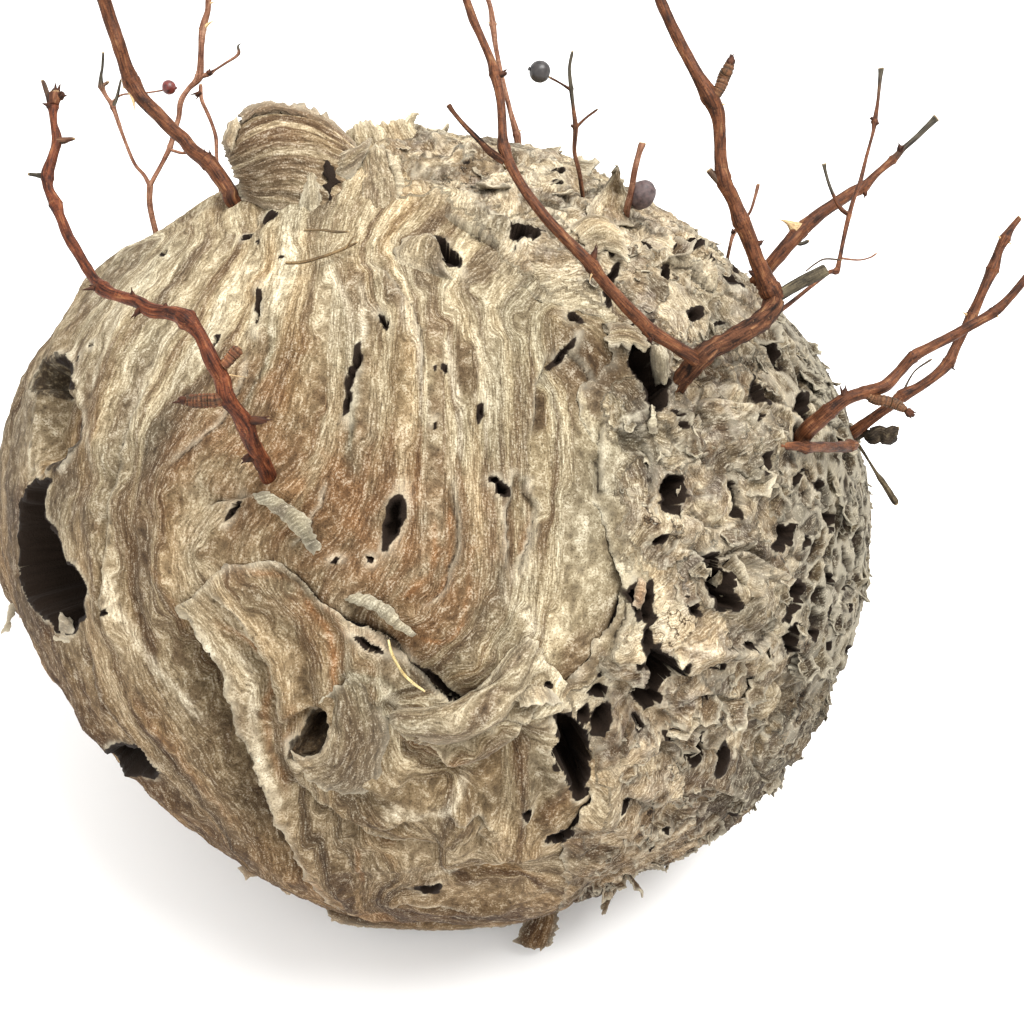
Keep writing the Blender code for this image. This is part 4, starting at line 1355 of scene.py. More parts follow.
# Weathered paper of the right side and the crown: torn plates, wrinkled, with pockets at the right
def roughSheet():
    sheet = Sheet(toCamera, *charts["rough"])
    ragged = sheet.chart + sheet.warp[:, :2] * 1.6
    into = intoPath(ragged, roughPath)
    heading = toCamera * 0.4 + pictureRight * 0.5 + pictureUp * 0.2
    scales = makeScales(scaleKinds["torn plates"], heading, roughPlace)
    scales += makeScales(scaleKinds["small shreds"], heading, roughPlace)
    top = layScales(sheet, scales)
    spongy = sponge(sheet)
    plain = stripeRelief(sheet, smoothBand(sheet.chart)) + paperRelief(sheet) + 0.5
    torn = np.maximum(top, -1.6) + 0.7 * paperRelief(sheet) + 0.8
    torn += 0.6 * wrinkles(sheet, 7.0, (1.0, 0.6, 1.0)) + 0.35 * wrinkles(sheet, 3.6, (0.7, 1.0, 1.0))
    torn *= 1 - 0.6 * spongy
    inner = smooth(0.0, 12.0, into + 3.0 * sheet.warp[:, 2])
    sheet.height = plain + (torn - plain) * inner
    sheet.pit = sheet.pit * inner
    sheet.rim = sheet.rim * inner
    sheet.rough[:] = smooth(0.0, 16.0, into)
    sheet.band = np.where(inner > 0.5, sheet.band, smoothBand(sheet.chart))
    inZone = smooth(2.0, 12.0, into)
    pressPockets(sheet, pocketKinds["broad bowls"], inZone * (1 - 0.6 * spongy))
    pressPockets(sheet, pocketKinds["small bowls"], inZone * (1 - spongy))
    pressPockets(sheet, pocketKinds["sponge"], inZone * spongy)
    pressFolds(sheet, roughFolds)
    pressLips(sheet, roughLips)
    pressPits(sheet, 0.9)
    # painted highlight along the sheet's torn edge
    sheet.rim = np.maximum(sheet.rim, 0.7 * np.exp(-np.maximum(into, 0) / 0.9))
    sheet.tint = sheet.tint - 0.8 * spongy
    # where the seam under the crown is closed, no shade is painted under the rim
    closed = underCrown(sheet) * smooth(60.0, 40.0, sheet.chart[:, 0])
    sheet.gap *= 1 - closed
    sheet.height -= 1.6 * closed * smooth(5.5, 0.0, into)
    sheet.keep(np.minimum(into, beforeBack(sheet)))
    return sheet


# The far side, which the photo doesn't show: larger striped scales, weathered to the right
def backSheet():
    sheet = Sheet(-toCamera, *charts["back"])
    beyond = np.hypot(sheet.chart[:, 0], sheet.chart[:, 1])
    scales = makeScales(scaleKinds["far side scales"], -toCamera, anyPlace)
    scales += makeScales(scaleKinds["far side shreds"], -toCamera, roughPlace)
    top = layScales(sheet, scales)
    sheet.height = np.maximum(top, -2.0) - 1.0 + stripeRelief(sheet, sheet.band) * 0.6 + paperRelief(sheet)
    sheet.rough = smooth(-0.1, 0.5, sheet.direction[:, 0] * 0.8 + sheet.direction[:, 2] * 0.6 - 0.1)
    weathered = smooth(0.1, 0.6, sheet.rough)
    pressPockets(sheet, pocketKinds["far side bowls"], weathered)
    pressPockets(sheet, pocketKinds["sponge"], sponge(sheet))
    sheet.height -= 3.0 * smooth(172, 186, beyond)
    sheet.keep(overlap["backReach"] - beyond)
    return sheet


nestPieces = [
    nestPaper("nest_front_paper", frontSheet()),
    nestPaper("nest_lower_flap", flapSheet()),
    nestPaper("nest_weathered_paper", roughSheet()),
    nestPaper("nest_back_paper", backSheet()),
]
print("stage: nest paper")


# The point in front of the camera at a pixel, at a depth beyond the aim's distance
def inPhoto(x, y, depth):
    half = photo["size"] / 2
    ray = ((x - half) * pictureRight - (y - half) * pictureUp) / focal - toCamera
    return cameraPoint + ray * (photo["distance"] + depth)


# Depth of the nest's paper behind a pixel; past the outline, none
def paperDepth(x, y):
    origin = Vector(cameraPoint * mm)
    direction = Vector(inPhoto(x, y, 0.0) * mm) - origin
    direction.normalize()
    nearest = 1e9
    for piece in nestPieces:
        hit, place, normal, face = piece.ray_cast(origin, direction)
        if hit:
            nearest = min(nearest, -((np.array(place) / mm - cameraPoint) @ toCamera))
    return nearest - photo["distance"] if nearest < 1e8 else None


# Thin sheets of paper that stand off the nest. Each is a grid of points, in rows from one end to the
# other: x and y in pixels and mm above the paper behind it (or, with a depth, in front of that depth).
# bulge: mm towards the camera in the middle; stripes: along the rows or across; rib: height of ribs;
# streak: how much brown and cream lines stand out; dark: painted shade, as inside a pocket
paperStrips = {
    "nest_hood": {
        "depth": -89.0, "bulge": 3.6, "stripes": "rows", "rib": 0.42, "tint": -1.0, "fray": 1.8,
        "streak": 1.2,
        "stain": 0.16,
        "rows": (((224, 143, -9), (238, 122, -6), (264, 112, -5), (302, 115, -4), (330, 127, -5),
                  (353, 146, -6)),
                 ((226, 152, -5), (244, 134, -1), (272, 124, 0), (304, 128, 1), (330, 139, 1),
                  (356, 153, -2)),
                 ((227, 160, -2), (250, 149, 3), (278, 142, 5), (308, 145, 5), (332, 153, 4),
                  (358, 163, 1)),
                 ((233, 171, -1), (256, 166, 4), (284, 162, 7), (312, 165, 8), (335, 170, 6),
                  (362, 180, 5)),
                 ((238, 186, -2), (262, 188, 4), (290, 188, 9), (314, 192, 10), (338, 198, 11),
                  (368, 204, 12)),
                 ((246, 204, -2), (268, 212, 5), (290, 217, 9), (316, 221, 12), (342, 226, 15),
                  (374, 230, 17))),
    },
    "hood_dark_edge": {
        "depth": -89.0, "bulge": 0.6, "stripes": "rows", "rib": 0.35, "tint": -3.2, "fray": 3.0,
        "streak": 1.4,
        "stain": 0.3,
        "rows": (((234, 117, -4), (250, 104, -3), (266, 101, -3), (286, 104, -3), (304, 106, -3),
                  (321, 110, -4),
                  (334, 124, -5), (354, 141, -7)),
                 ((240, 122, -1), (254, 112, 0.5), (270, 108, 1), (286, 110, 1), (304, 115, 1),
                  (320, 121, 0),
                  (336, 132, -1), (356, 147, -4)),
                 ((244, 128, -2.5), (258, 120, -1), (272, 116, -0.5), (288, 117, -0.5), (305, 121, -0.5),
                  (320, 128, -1), (336, 139, -1.5), (356, 152, -4))),
    },
    "hood_torn_end": {
        "depth": -88.0, "bulge": 0.8, "stripes": "columns", "rib": 0.15, "tint": -0.6, "fray": 1.2,
        "stain": 0.2,
        "rows": (((231, 121, 0), (236, 119, 1), (242, 122, 0)),
                 ((227, 128, 1), (233, 130, 2.5), (240, 131, 1)),
                 ((222, 138, 1), (230, 142, 3), (238, 142, 1)),
                 ((223, 147, 0), (230, 152, 2), (236, 153, 0))),
    },
    "hood_pale_strip": {
        "depth": -91.0, "bulge": 0.6, "stripes": "columns", "rib": 0.15, "tint": -0.4, "fray": 1.4,
        "rows": (((304, 163, 6.5), (309, 161, 8), (314, 164, 8), (320, 167, 7)),
                 ((304, 178, 8.5), (309, 177, 10), (315, 179, 10), (321, 180, 9)),
                 ((301, 196, 10), (308, 195, 12), (315, 197, 12), (322, 197, 10.5)),
                 ((297, 212, 9), (306, 214, 11.5), (315, 216, 11.5), (324, 216, 10.5))),
    },
    # a dark strip: painted shade in the gap beside the pale strip
    "hood_gap": {
        "depth": -90.0, "bulge": 0.2, "stripes": "columns", "rib": 0.0, "tint": -1.0, "fray": 1.6,
        "dark": 0.9,
        "rows": (((321, 160, 8.5), (327, 161, 9), (333, 166, 8.5)),
                 ((324, 172, 10), (330, 174, 10.5), (336, 177, 10)),
                 ((325, 186, 11), (329, 188, 11.5), (333, 187, 11)),
                 ((330, 202, 12.5), (331.5, 203, 13), (333, 202, 12.5))),
    },
    "hood_shadow_fold": {
        "depth": -91.0, "bulge": 0.5, "stripes": "rows", "rib": 0.2, "tint": -2.0, "fray": 1.2, "dark": 0.2,
        "rows": (((330, 158, 3), (344, 151, 3.5), (356, 146, 2), (369, 141, 0)),
                 ((332, 168, 5), (344, 162, 5.5), (357, 154, 4), (369, 147, 1)),
                 ((336, 182, 7), (348, 178, 7), (359, 168, 5), (364, 158, 3))),
    },
    "hood_side_panel": {
        "depth": -92.0, "bulge": 1.2, "stripes": "columns", "rib": 0.2, "tint": 0.0, "fray": 1.2,
        "rows": (((358, 166, 1), (367, 150, 0), (378, 145, 0), (388, 150, -3)),
                 ((356, 182, 6), (370, 172, 5), (384, 168, 5), (396, 172, 2)),
                 ((352, 200, 11), (370, 194, 11.5), (388, 190, 11.5), (404, 192, 9)),
                 ((346, 226, 15), (368, 226, 16.5), (388, 222, 16.5), (406, 214, 13.5))),
    },
    "hood_pale_ridge": {
        "depth": -93.0, "bulge": 0.8, "stripes": "rows", "rib": 0.1, "tint": 1.2, "fray": 0.8,
        "rows": (((384, 150, -2), (387, 149, 0), (391, 151, -2)),
                 ((390, 164, 3), (394, 163, 5), (399, 165, 3)),
                 ((395, 182, 6), (400, 182, 8.5), (405, 183, 6)),
                 ((394, 200, 11), (399, 203, 13), (404, 206, 11)),
                 ((380, 216, 15), (384, 221, 16.5), (388, 225, 15))),
    },
    "crown_shred_left": {
        "depth": -78.0, "bulge": 2.0, "stripes": "columns", "rib": 0.2, "tint": 0.3, "fray": 2.0,
        "rows": (((338, 134, 0), (352, 126, 1), (366, 122, 1), (380, 124, 0)),
                 ((342, 148, 0), (356, 144, 2), (372, 142, 2), (392, 142, 0)),
                 ((350, 168, 0), (364, 166, 2), (384, 164, 1), (404, 164, -2))),
    },
    "crown_shred_middle": {
        "depth": -76.0, "bulge": 2.0, "stripes": "columns", "rib": 0.2, "tint": 0.8, "fray": 1.6,
        "rows": (((372, 126, 0), (388, 121, 1), (402, 119, 2), (419, 114, 3)),
                 ((374, 134, 0), (390, 130, 1), (404, 127, 1), (414, 120, 2)),
                 ((378, 150, 0), (396, 148, 1), (412, 146, 0), (430, 146, -2)),
                 ((384, 166, -1), (404, 166, 0), (424, 164, 0), (446, 162, -3))),
    },
    "crown_shred_right": {
        "depth": -70.0, "bulge": 2.0, "stripes": "columns", "rib": 0.2, "tint": 0.2, "fray": 2.0,
        "rows": (((404, 132, 0), (424, 134, 1), (446, 142, 1), (470, 158, 0)),
                 ((402, 146, 0), (424, 150, 2), (446, 158, 1), (468, 170, -1)),
                 ((404, 170, -1), (424, 174, 0), (446, 180, 0), (466, 186, -3))),
    },
    "pointed_shred": {
        "bulge": 1.0, "stripes": "columns", "rib": 0.1, "tint": -0.3, "fray": 0.8,
        "rows": (((615.5, 167, 1), (617, 166, 1.5), (618.5, 168, 1)),
                 ((609, 180, 2), (616, 179, 3), (623, 182, 2)),
                 ((600, 192, 2), (612, 193, 4), (627, 198, 2)),
                 ((590, 205, 1), (610, 208, 3), (631, 213, 1)),
                 ((584, 220, -1), (610, 224, 0.5), (636, 226, -1))),
    },
    "crown_leaf": {
        "bulge": 1.4, "stripes": "rows", "rib": 0.2, "tint": -0.2, "fray": 1.0,
        "rows": (((568, 226, 0), (590, 214, 1), (612, 216, 0.5)),
                 ((580, 240, 1), (602, 230, 4), (624, 236, 3)),
                 ((590, 256, -0.5), (612, 250, 3.5), (630, 262, 4))),
    },
    "small_curl": {
        "bulge": 0.3, "stripes": "rows", "rib": 0.0, "tint": 0.6, "fray": 0.3, "pale": 0.2,
        "rows": (((629, 246, 0.5), (632, 242, 1.5), (636, 240.5, 2), (640, 241.5, 3), (642.5, 245, 4),
                  (641, 250, 5),
                  (637, 253, 5)),
                 ((632, 249, 0.5), (634, 246, 1.5), (636.5, 244.5, 2), (638.5, 245.5, 3), (639.5, 247.5, 4),
                  (638, 250, 5), (636, 251, 5))),
    },
    "ridge_beside_stub": {
        "bulge": 0.6, "stripes": "columns", "rib": 0.1, "tint": -0.4, "fray": 1.8,
        "rows": (((650, 348, 0), (656, 342, 3), (664, 340, 1)),
                 ((652, 366, 0), (660, 362, 4), (668, 360, 1)),
                 ((656, 386, 0), (662, 384, 3), (670, 382, 1))),
    },
    "hood_slit_flap": {
        "bulge": 1.6, "stripes": "columns", "rib": 0.1, "tint": -0.3, "fray": 1.2,
        "rows": (((392, 262, -1), (408, 270, -1), (428, 276, -1), (452, 280, -0.5)),
                 ((396, 248, 0.5), (412, 252, 1.5), (430, 258, 2.5), (447, 270, 3)),
                 ((404, 238, 1), (418, 240, 2.5), (432, 244, 4), (441, 254, 4.5)),
                 ((416, 234, 1), (424, 234, 2), (431, 236, 3.5), (436, 240, 4.5))),
    },
    "curled_strip_upper": {
        "bulge": 1.2, "stripes": "rows", "rib": 0.15, "tint": 0.9, "fray": 1.0, "pale": 0.1,
        "rows": (((252, 494, 0.5), (260, 491, 1), (269, 492, 0.5)),
                 ((256, 500, 1), (268, 498, 3), (279, 498, 2)),
                 ((268, 508, 1), (280, 506, 4.5), (291, 506, 3)),
                 ((284, 520, 1.5), (294, 516, 5), (304, 514, 4)),
                 ((294, 532, 2), (303, 528, 5.5), (311, 526, 4)),
                 ((304, 543, 2), (311, 540, 5), (318, 537, 3.5)),
                 ((314, 553, 1), (319, 550, 3), (325, 546, 2))),
    },
    "curled_strip_middle": {
        "bulge": 1.2, "stripes": "rows", "rib": 0.15, "tint": 0.9, "fray": 1.0, "pale": 0.1,
        "rows": (((341, 600, 0.3), (350, 595, 1), (360, 592, 0.5)),
                 ((350, 603, 1), (358, 599, 3), (368, 594, 2)),
                 ((360, 606, 1.5), (368, 603, 4), (376, 597, 2.5)),
                 ((374, 611, 1.5), (380, 607, 4.5), (387, 602, 3)),
                 ((386, 620, 1.5), (390, 616, 4.5), (396, 611, 3)),
                 ((398, 628, 1.5), (401, 625, 3.5), (404, 622, 2.5)),
                 ((412, 636, 1), (414, 634.5, 1.5), (416, 633, 1.2))),
    },
    "twisted_fold": {
        "bulge": 3.0, "stripes": "columns", "rib": 0.25, "tint": 0.2, "fray": 0.6, "streak": 0.8,
        "rows": (((522, 634, -1), (532, 638, 0), (542, 644, -1), (548, 652, -2)),
                 ((510, 650, -1), (520, 655, 2.5), (530, 662, 2.5), (538, 670, -1)),
                 ((498, 664, -1), (508, 670, 4), (518, 680, 4), (526, 690, -1)),
                 ((484, 680, -1), (494, 687, 5), (504, 697, 5), (512, 708, -1)),
                 ((468, 694, -1), (477, 702, 5), (487, 713, 5), (495, 724, -1)),
                 ((448, 704, -1), (455, 713, 4.5), (463, 725, 4.5), (470, 738, -1)),
                 ((424, 708, -1), (428, 718, 4), (434, 730, 4), (440, 744, -1)),
                 ((402, 708, -1), (404, 717, 2.5), (408, 728, 2.5), (414, 740, -1)),
                 ((384, 712, -1), (387, 717, 0.5), (391, 724, 0.5), (396, 732, -2))),
    },
    "pocket_tongue": {
        "bulge": 1.5, "stripes": "columns", "rib": 0.2, "tint": -0.5, "fray": 1.0,
        "rows": (((321, 704, 1), (334, 690, 1), (348, 676, 0), (366, 664, -1)),
                 ((327, 716, 3.5), (340, 706, 3.5), (356, 694, 2), (376, 684, -1)),
                 ((330, 732, 5), (344, 728, 4.5), (362, 718, 2.5), (384, 708, -1)),
                 ((322, 750, 5), (340, 752, 4.5), (364, 744, 2), (390, 730, -1)),
                 ((306, 757, 3), (326, 770, 3.5), (356, 772, 1.5), (386, 760, -1)),
                 ((290, 751, 0.5), (308, 780, 1), (344, 796, 0), (380, 790, -1))),
    },
    "ledge_by_fold": {
        "bulge": 0.6, "stripes": "columns", "rib": 0.0, "tint": 0.6, "fray": 0.8, "pale": 0.15,
        "rows": (((512, 694, -0.5), (528, 688, 0), (548, 682, -0.5)),
                 ((516, 701, 1.5), (534, 696, 2), (554, 692, 1)),
                 ((520, 708, 3), (538, 705, 3.5), (563, 703, 2))),
    },
    "greenish_ledge": {
        "bulge": 1.0, "stripes": "rows", "rib": 0.1, "tint": -0.9, "fray": 1.2,
        "rows": (((600, 324, -0.5), (620, 322, 0), (640, 326, -0.5)),
                 ((606, 334, 1.5), (626, 334, 2.5), (648, 340, 1)),
                 ((610, 344, 3), (628, 346, 3.5), (650, 350, 2))),
    },
    "thin_shard": {
        "bulge": 0.4, "stripes": "rows", "rib": 0.0, "tint": 0.2, "fray": 0.5,
        "rows": (((648, 432, 0), (652, 434, 0.5), (656, 433, 0)),
                 ((650, 420, 2), (653, 421, 3), (656, 420, 2)),
                 ((652, 406, 4), (653, 406, 5), (655, 406, 4))),
    },
    "brown_chip": {
        "bulge": 0.6, "stripes": "rows", "rib": 0.1, "tint": -0.6, "fray": 0.6, "stain": 0.9,
        "rows": (((637, 578, 0.5), (642, 579, 1), (646, 581, 1)),
                 ((635, 592, 1.5), (640, 593, 2.5), (645, 594, 2)),
                 ((633, 606, 1), (637, 608, 2), (641, 609, 1.5))),
    },
    "bottom_tatter": {
        "depth": 6.0, "bulge": 1.5, "stripes": "columns", "rib": 0.2, "tint": -0.8, "fray": 2.2,
        "stain": 0.15,
        "rows": (((522, 905, 0), (540, 903, 1), (558, 900, 0)),
                 ((526, 918, 1), (542, 918, 3), (558, 916, 2)),
                 ((518, 930, 2), (538, 932, 4), (556, 929, 3)),
                 ((514, 940, 3), (534, 944, 5), (553, 941, 4)),
                 ((524, 947, 4), (536, 949, 5), (547, 947, 4))),
    },
    "hanging_shred": {
        "depth": 2.0, "bulge": 0.6, "stripes": "rows", "rib": 0.1, "tint": -0.4, "fray": 1.0,
        "rows": (((596, 880, 0), (616, 872, 1), (632, 868, 0)),
                 ((600, 890, 1), (612, 886, 2), (626, 880, 1)),
                 ((602, 902, 2), (608, 899, 2.5), (614, 894, 2)),
                 ((601, 918, 3), (604, 915, 3), (606, 911, 3))),
    },
    "foot_curl": {
        "depth": -2.0, "bulge": 1.2, "stripes": "rows", "rib": 0.1, "tint": 0.2, "fray": 0.8, "stain": 0.3,
        "rows": (((238, 868, 0), (242, 874, 1), (246, 880, 0)),
                 ((252, 860, 2), (256, 868, 4), (258, 877, 1)),
                 ((268, 862, 2), (269, 871, 4.5), (268, 881, 1)),
                 ((282, 872, 2), (281, 880, 4), (278, 888, 1)),
                 ((294, 888, 1), (291, 891, 2), (287, 895, 0))),
    },
    "bottom_lip": {
        "depth": 4.0, "bulge": 2.0, "stripes": "columns", "rib": 0.15, "tint": -0.3, "fray": 0.9,
        "streak": 0.8,
        "rows": (((324, 902, 2), (326, 912, 5), (332, 922, 1)),
                 ((350, 905, 2), (352, 916, 5), (356, 926, 1)),
                 ((390, 910, 2), (392, 920, 5), (394, 928, 1)),
                 ((430, 912, 2), (430, 922, 5), (430, 929, 1)),
                 ((470, 912, 2), (470, 922, 5), (470, 928, 1)),
                 ((510, 908, 2), (510, 918, 4), (510, 925, 1))),
    },
    "entrance_rim": {
        "depth": 4.0, "bulge": 2.0, "stripes": "columns", "rib": 0.2, "tint": -0.3, "fray": 1.6,
        "stain": 0.3,
        "rows": (((40, 476, 0), (36, 482, 2), (34, 490, 0)),
                 ((18, 492, 0), (16, 500, 2), (22, 508, 0)),
                 ((4, 520, 0), (7, 526, 2), (16, 530, 0)),
                 ((-1, 556, 0), (4, 558, 2), (14, 560, 0)),
                 ((1, 584, 0), (8, 586, 2), (18, 582, 0)),
                 ((14, 610, 0), (20, 606, 2), (28, 600, 0)),
                 ((30, 628, 0), (34, 620, 2), (40, 612, 0))),
    },
    "entrance_fringe": {
        "bulge": 0.6, "stripes": "rows", "rib": 0.0, "tint": 0.4, "fray": 1.4, "pale": 0.5,
        "depth": 2.0,
        "rows": (((8, 606, 0), (14, 602, 1), (22, 600, 0)),
                 ((6, 618, 1), (10, 616, 2), (16, 614, 1)),
                 ((2, 632, 2), (5, 631, 2), (8, 630, 2))),
    },
    "entrance_shred": {
        "bulge": 0.8, "stripes": "rows", "rib": 0.1, "tint": 0.5, "fray": 0.8, "pale": 0.3,
        "rows": (((54, 640, 0), (62, 642, 0.5), (70, 644, 0)),
                 ((58, 626, 1), (66, 628, 2), (74, 630, 1)),
                 ((60, 612, 2), (66, 616, 3), (72, 622, 2))),
    },
}


# A grid of control points, made finer along smooth curves both ways
def finer(grid, along, across):
    grid = np.array(grid, float)
    for axis, parts in ((0, along), (1, across)):
        rows = np.moveaxis(grid, axis, 0)
        padded = np.concatenate([2 * rows[:1] - rows[1:2], rows, 2 * rows[-1:] - rows[-2:-1]])
        made = [rows[0]]
        for i in range(len(rows) - 1):
            for t in np.arange(1, parts + 1) / parts:
                made.append(catmull(padded[i], padded[i + 1], padded[i + 2], padded[i + 3], t))
        grid = np.moveaxis(np.array(made), 0, axis)
    return grid


# Faces of a closed sheet, from the numbers of its front's points; its back's points follow them
def sheetFaces(index):
    quads = gridFaces(index)
    rim = np.concatenate([index[0, :], index[1:, -1], index[-1, -2::-1], index[-2:0:-1, 0]])
    after = np.roll(rim, -1)
    behind = index.size
    sides = np.stack([after, rim, rim + behind, after + behind], 1)
    return np.vstack([quads, quads[:, ::-1] + behind, sides])


# A mesh of a closed sheet of paper with the values that its material reads, with painted shade on its back
def sheetMesh(name, front, back, faces, values, backShade):
    mesh = bpy.data.meshes.new(name)
    vertices = np.vstack([front.reshape(-1, 3), back.reshape(-1, 3)])
    mesh.from_pydata(vertices, [], faces.tolist())
    mesh.shade_smooth()
    for key, value in values.items():
        value = np.broadcast_to(value, front.shape[:2]).ravel()
        store(mesh, key, np.concatenate([value, value + (backShade if key == "pit" else 0.0)]))
    return mesh


# A closed sheet of paper from a strip's grid, frayed at its edges
def addStrip(name, strip):
    control = []
    for row in strip["rows"]:
        line = []
        for x, y, off in row:
            depth = strip.get("depth")
            if depth is None:
                depth = paperDepth(x, y)
            line.append((x, y, -999.0 if depth is None else depth - off))
        control.append(line)
    control = np.array(control)
    missing = control[:, :, 2] < -900
    control[missing, 2] = np.mean(control[~missing, 2]) if (~missing).any() else 0.0
    long = np.linalg.norm(np.diff(control[:, :, :2], axis=0), axis=2).mean() * 0.36
    wide = np.linalg.norm(np.diff(control[:, :, :2], axis=1), axis=2).mean() * 0.36
    grid = finer(control, max(2, int(long * fineness / 0.55)), max(2, int(wide * fineness / 0.55)))
    rows, columns = grid.shape[:2]
    v, u = np.meshgrid(np.linspace(0, 1, rows), np.linspace(0, 1, columns), indexing='ij')
    flat = np.array([[inPhoto(*point) for point in line] for line in grid])
    down = unit(np.gradient(flat, axis=0))
    over = unit(np.gradient(flat, axis=1))
    seed = sum(map(ord, name))
    shift = np.array([seed % 17, seed % 5, 0.0])
    spots = flat.reshape(-1, 3) + shift
    length = np.linalg.norm(flat[-1, columns // 2] - flat[0, columns // 2])
    width = np.linalg.norm(flat[rows // 2, -1] - flat[rows // 2, 0])
    fray = strip["fray"] * fine.at(spots, 1.6, 2).reshape(rows, columns)
    edgeV = np.exp(-np.minimum(v, 1 - v) * length / 1.2)
    edgeU = np.exp(-np.minimum(u, 1 - u) * width / 1.2)
    flat += down * (fray * edgeV * np.sign(v - 0.5))[:, :, None]
    flat += over * (fray * edgeU * np.sign(u - 0.5))[:, :, None]
    normal = unit(np.cross(over, down))
    normal *= np.sign(normal @ toCamera)[:, :, None] + 1e-9
    wander = 0.6 * coarse.at(spots, 6.0).reshape(rows, columns)
    band = (v * length if strip["stripes"] == "rows" else u * width) + wander

    def alongStripes(across, lengthwise):
        points = np.stack([band.ravel() / across, spots[:, 0] / lengthwise, spots[:, 2] / lengthwise], 1)
        return fine.plain(points).reshape(rows, columns)

    ribs = strip["rib"] * (np.sin(band * 2 * pi / 2.6) + alongStripes(1.3, 20))
    bump = (0.6 * coarse.at(spots, 8.0) + 0.2 * fine.at(spots, 2.4, 2)).reshape(rows, columns)
    bulge = strip["bulge"] * np.sin(pi * u) ** 0.8 * np.sin(pi * v) ** 0.8
    front = flat + normal * (bulge + ribs + bump)[:, :, None]
    edge = np.maximum(edgeU, edgeV)
    thickness = 2 * (0.22 + 0.2 * (1 - edge))
    back = front - normal * thickness[:, :, None]
    faces = sheetFaces(np.arange(rows * columns).reshape(rows, columns))
    facing = np.cross(front[0, 1] - front[0, 0], front[1, 0] - front[0, 0]) @ normal[0, 0]
    if facing < 0:
        faces = faces[:, ::-1]
    for side in (front, back):
        side[:, :, 2] = np.maximum(side[:, :, 2], 0.1)
    # painted highlight along the edges, with the strip's own paleness, and painted shade from dark
    values = {
        "band": band + seed % 97,
        "tint": strip["tint"] + 2.4 * strip.get("streak", 0.0) * alongStripes(0.9, 16),
        "pit": strip.get("dark", 0.0),
        "rim": 0.6 * edge + strip.get("pale", 0.0),
        "rough": 0.25,
        "stain": strip.get("stain", 0.0),
    }
    mesh = sheetMesh(name, front * mm, back * mm, faces, values, 0.35)
    mesh.materials.append(paperFinish)
    addPiece(name, mesh, "nest")


flakes = {
    "perSquareMetre": 16000.0,     # where the paper is fully weathered
    "smallest": 2.2,               # mm
    "largest": 12.0,
    "turn": 1.1,                   # radians either way from straight down
    "shapes": 6,
    "thickness": 0.055,            # of a flake's length
}


# A curled scrap of paper of length 1, standing on its root at the origin
def flakeShape(number):
    random = np.random.default_rng(40 + number)
    long, wide = 6, 5
    u, v = np.meshgrid(np.linspace(0, 1, long), np.linspace(-0.5, 0.5, wide), indexing='ij')
    width = random.uniform(0.7, 1.1) * (1 - 0.55 * u ** 2) * random.uniform(0.8, 1.15, long)[:, None]
    curl = random.uniform(-0.5, 1.1)
    angle = 0.24 + curl * u
    x = np.cumsum(np.cos(angle), 0) / long + 0.12 * v * random.normal()
    z = np.cumsum(np.sin(angle), 0) / long * 0.75 - 0.16
    z = z + random.uniform(-0.5, 0.7) * v ** 2 + 0.05 * random.normal(0, 1, u.shape)
    front = np.stack([x, v * width + 0.05 * random.normal(0, 1, u.shape), z], 2)
    normal = unit(np.cross(np.gradient(front, axis=0), np.gradient(front, axis=1)))
    back = front - normal * flakes["thickness"]
    faces = sheetFaces(np.arange(long * wide).reshape(long, wide).T)
    edge = np.zeros((long, wide))
    edge[-1] = 1.0
    edge[:, (0, -1)] = 0.7
    # painted shade at the root, painted highlight on the free end and sides
    values = {
        "band": 9 * u + 31 * number, "pit": 0.3 * (u < 0.1), "rim": 0.8 * edge, "rough": 0.8, "stain": 0.0,
    }
    mesh = sheetMesh("flake", front, back, faces, values, 0.28)
    shape = bpy.data.objects.new("flake", mesh)
    scene.collection.objects.link(shape)
    return shape


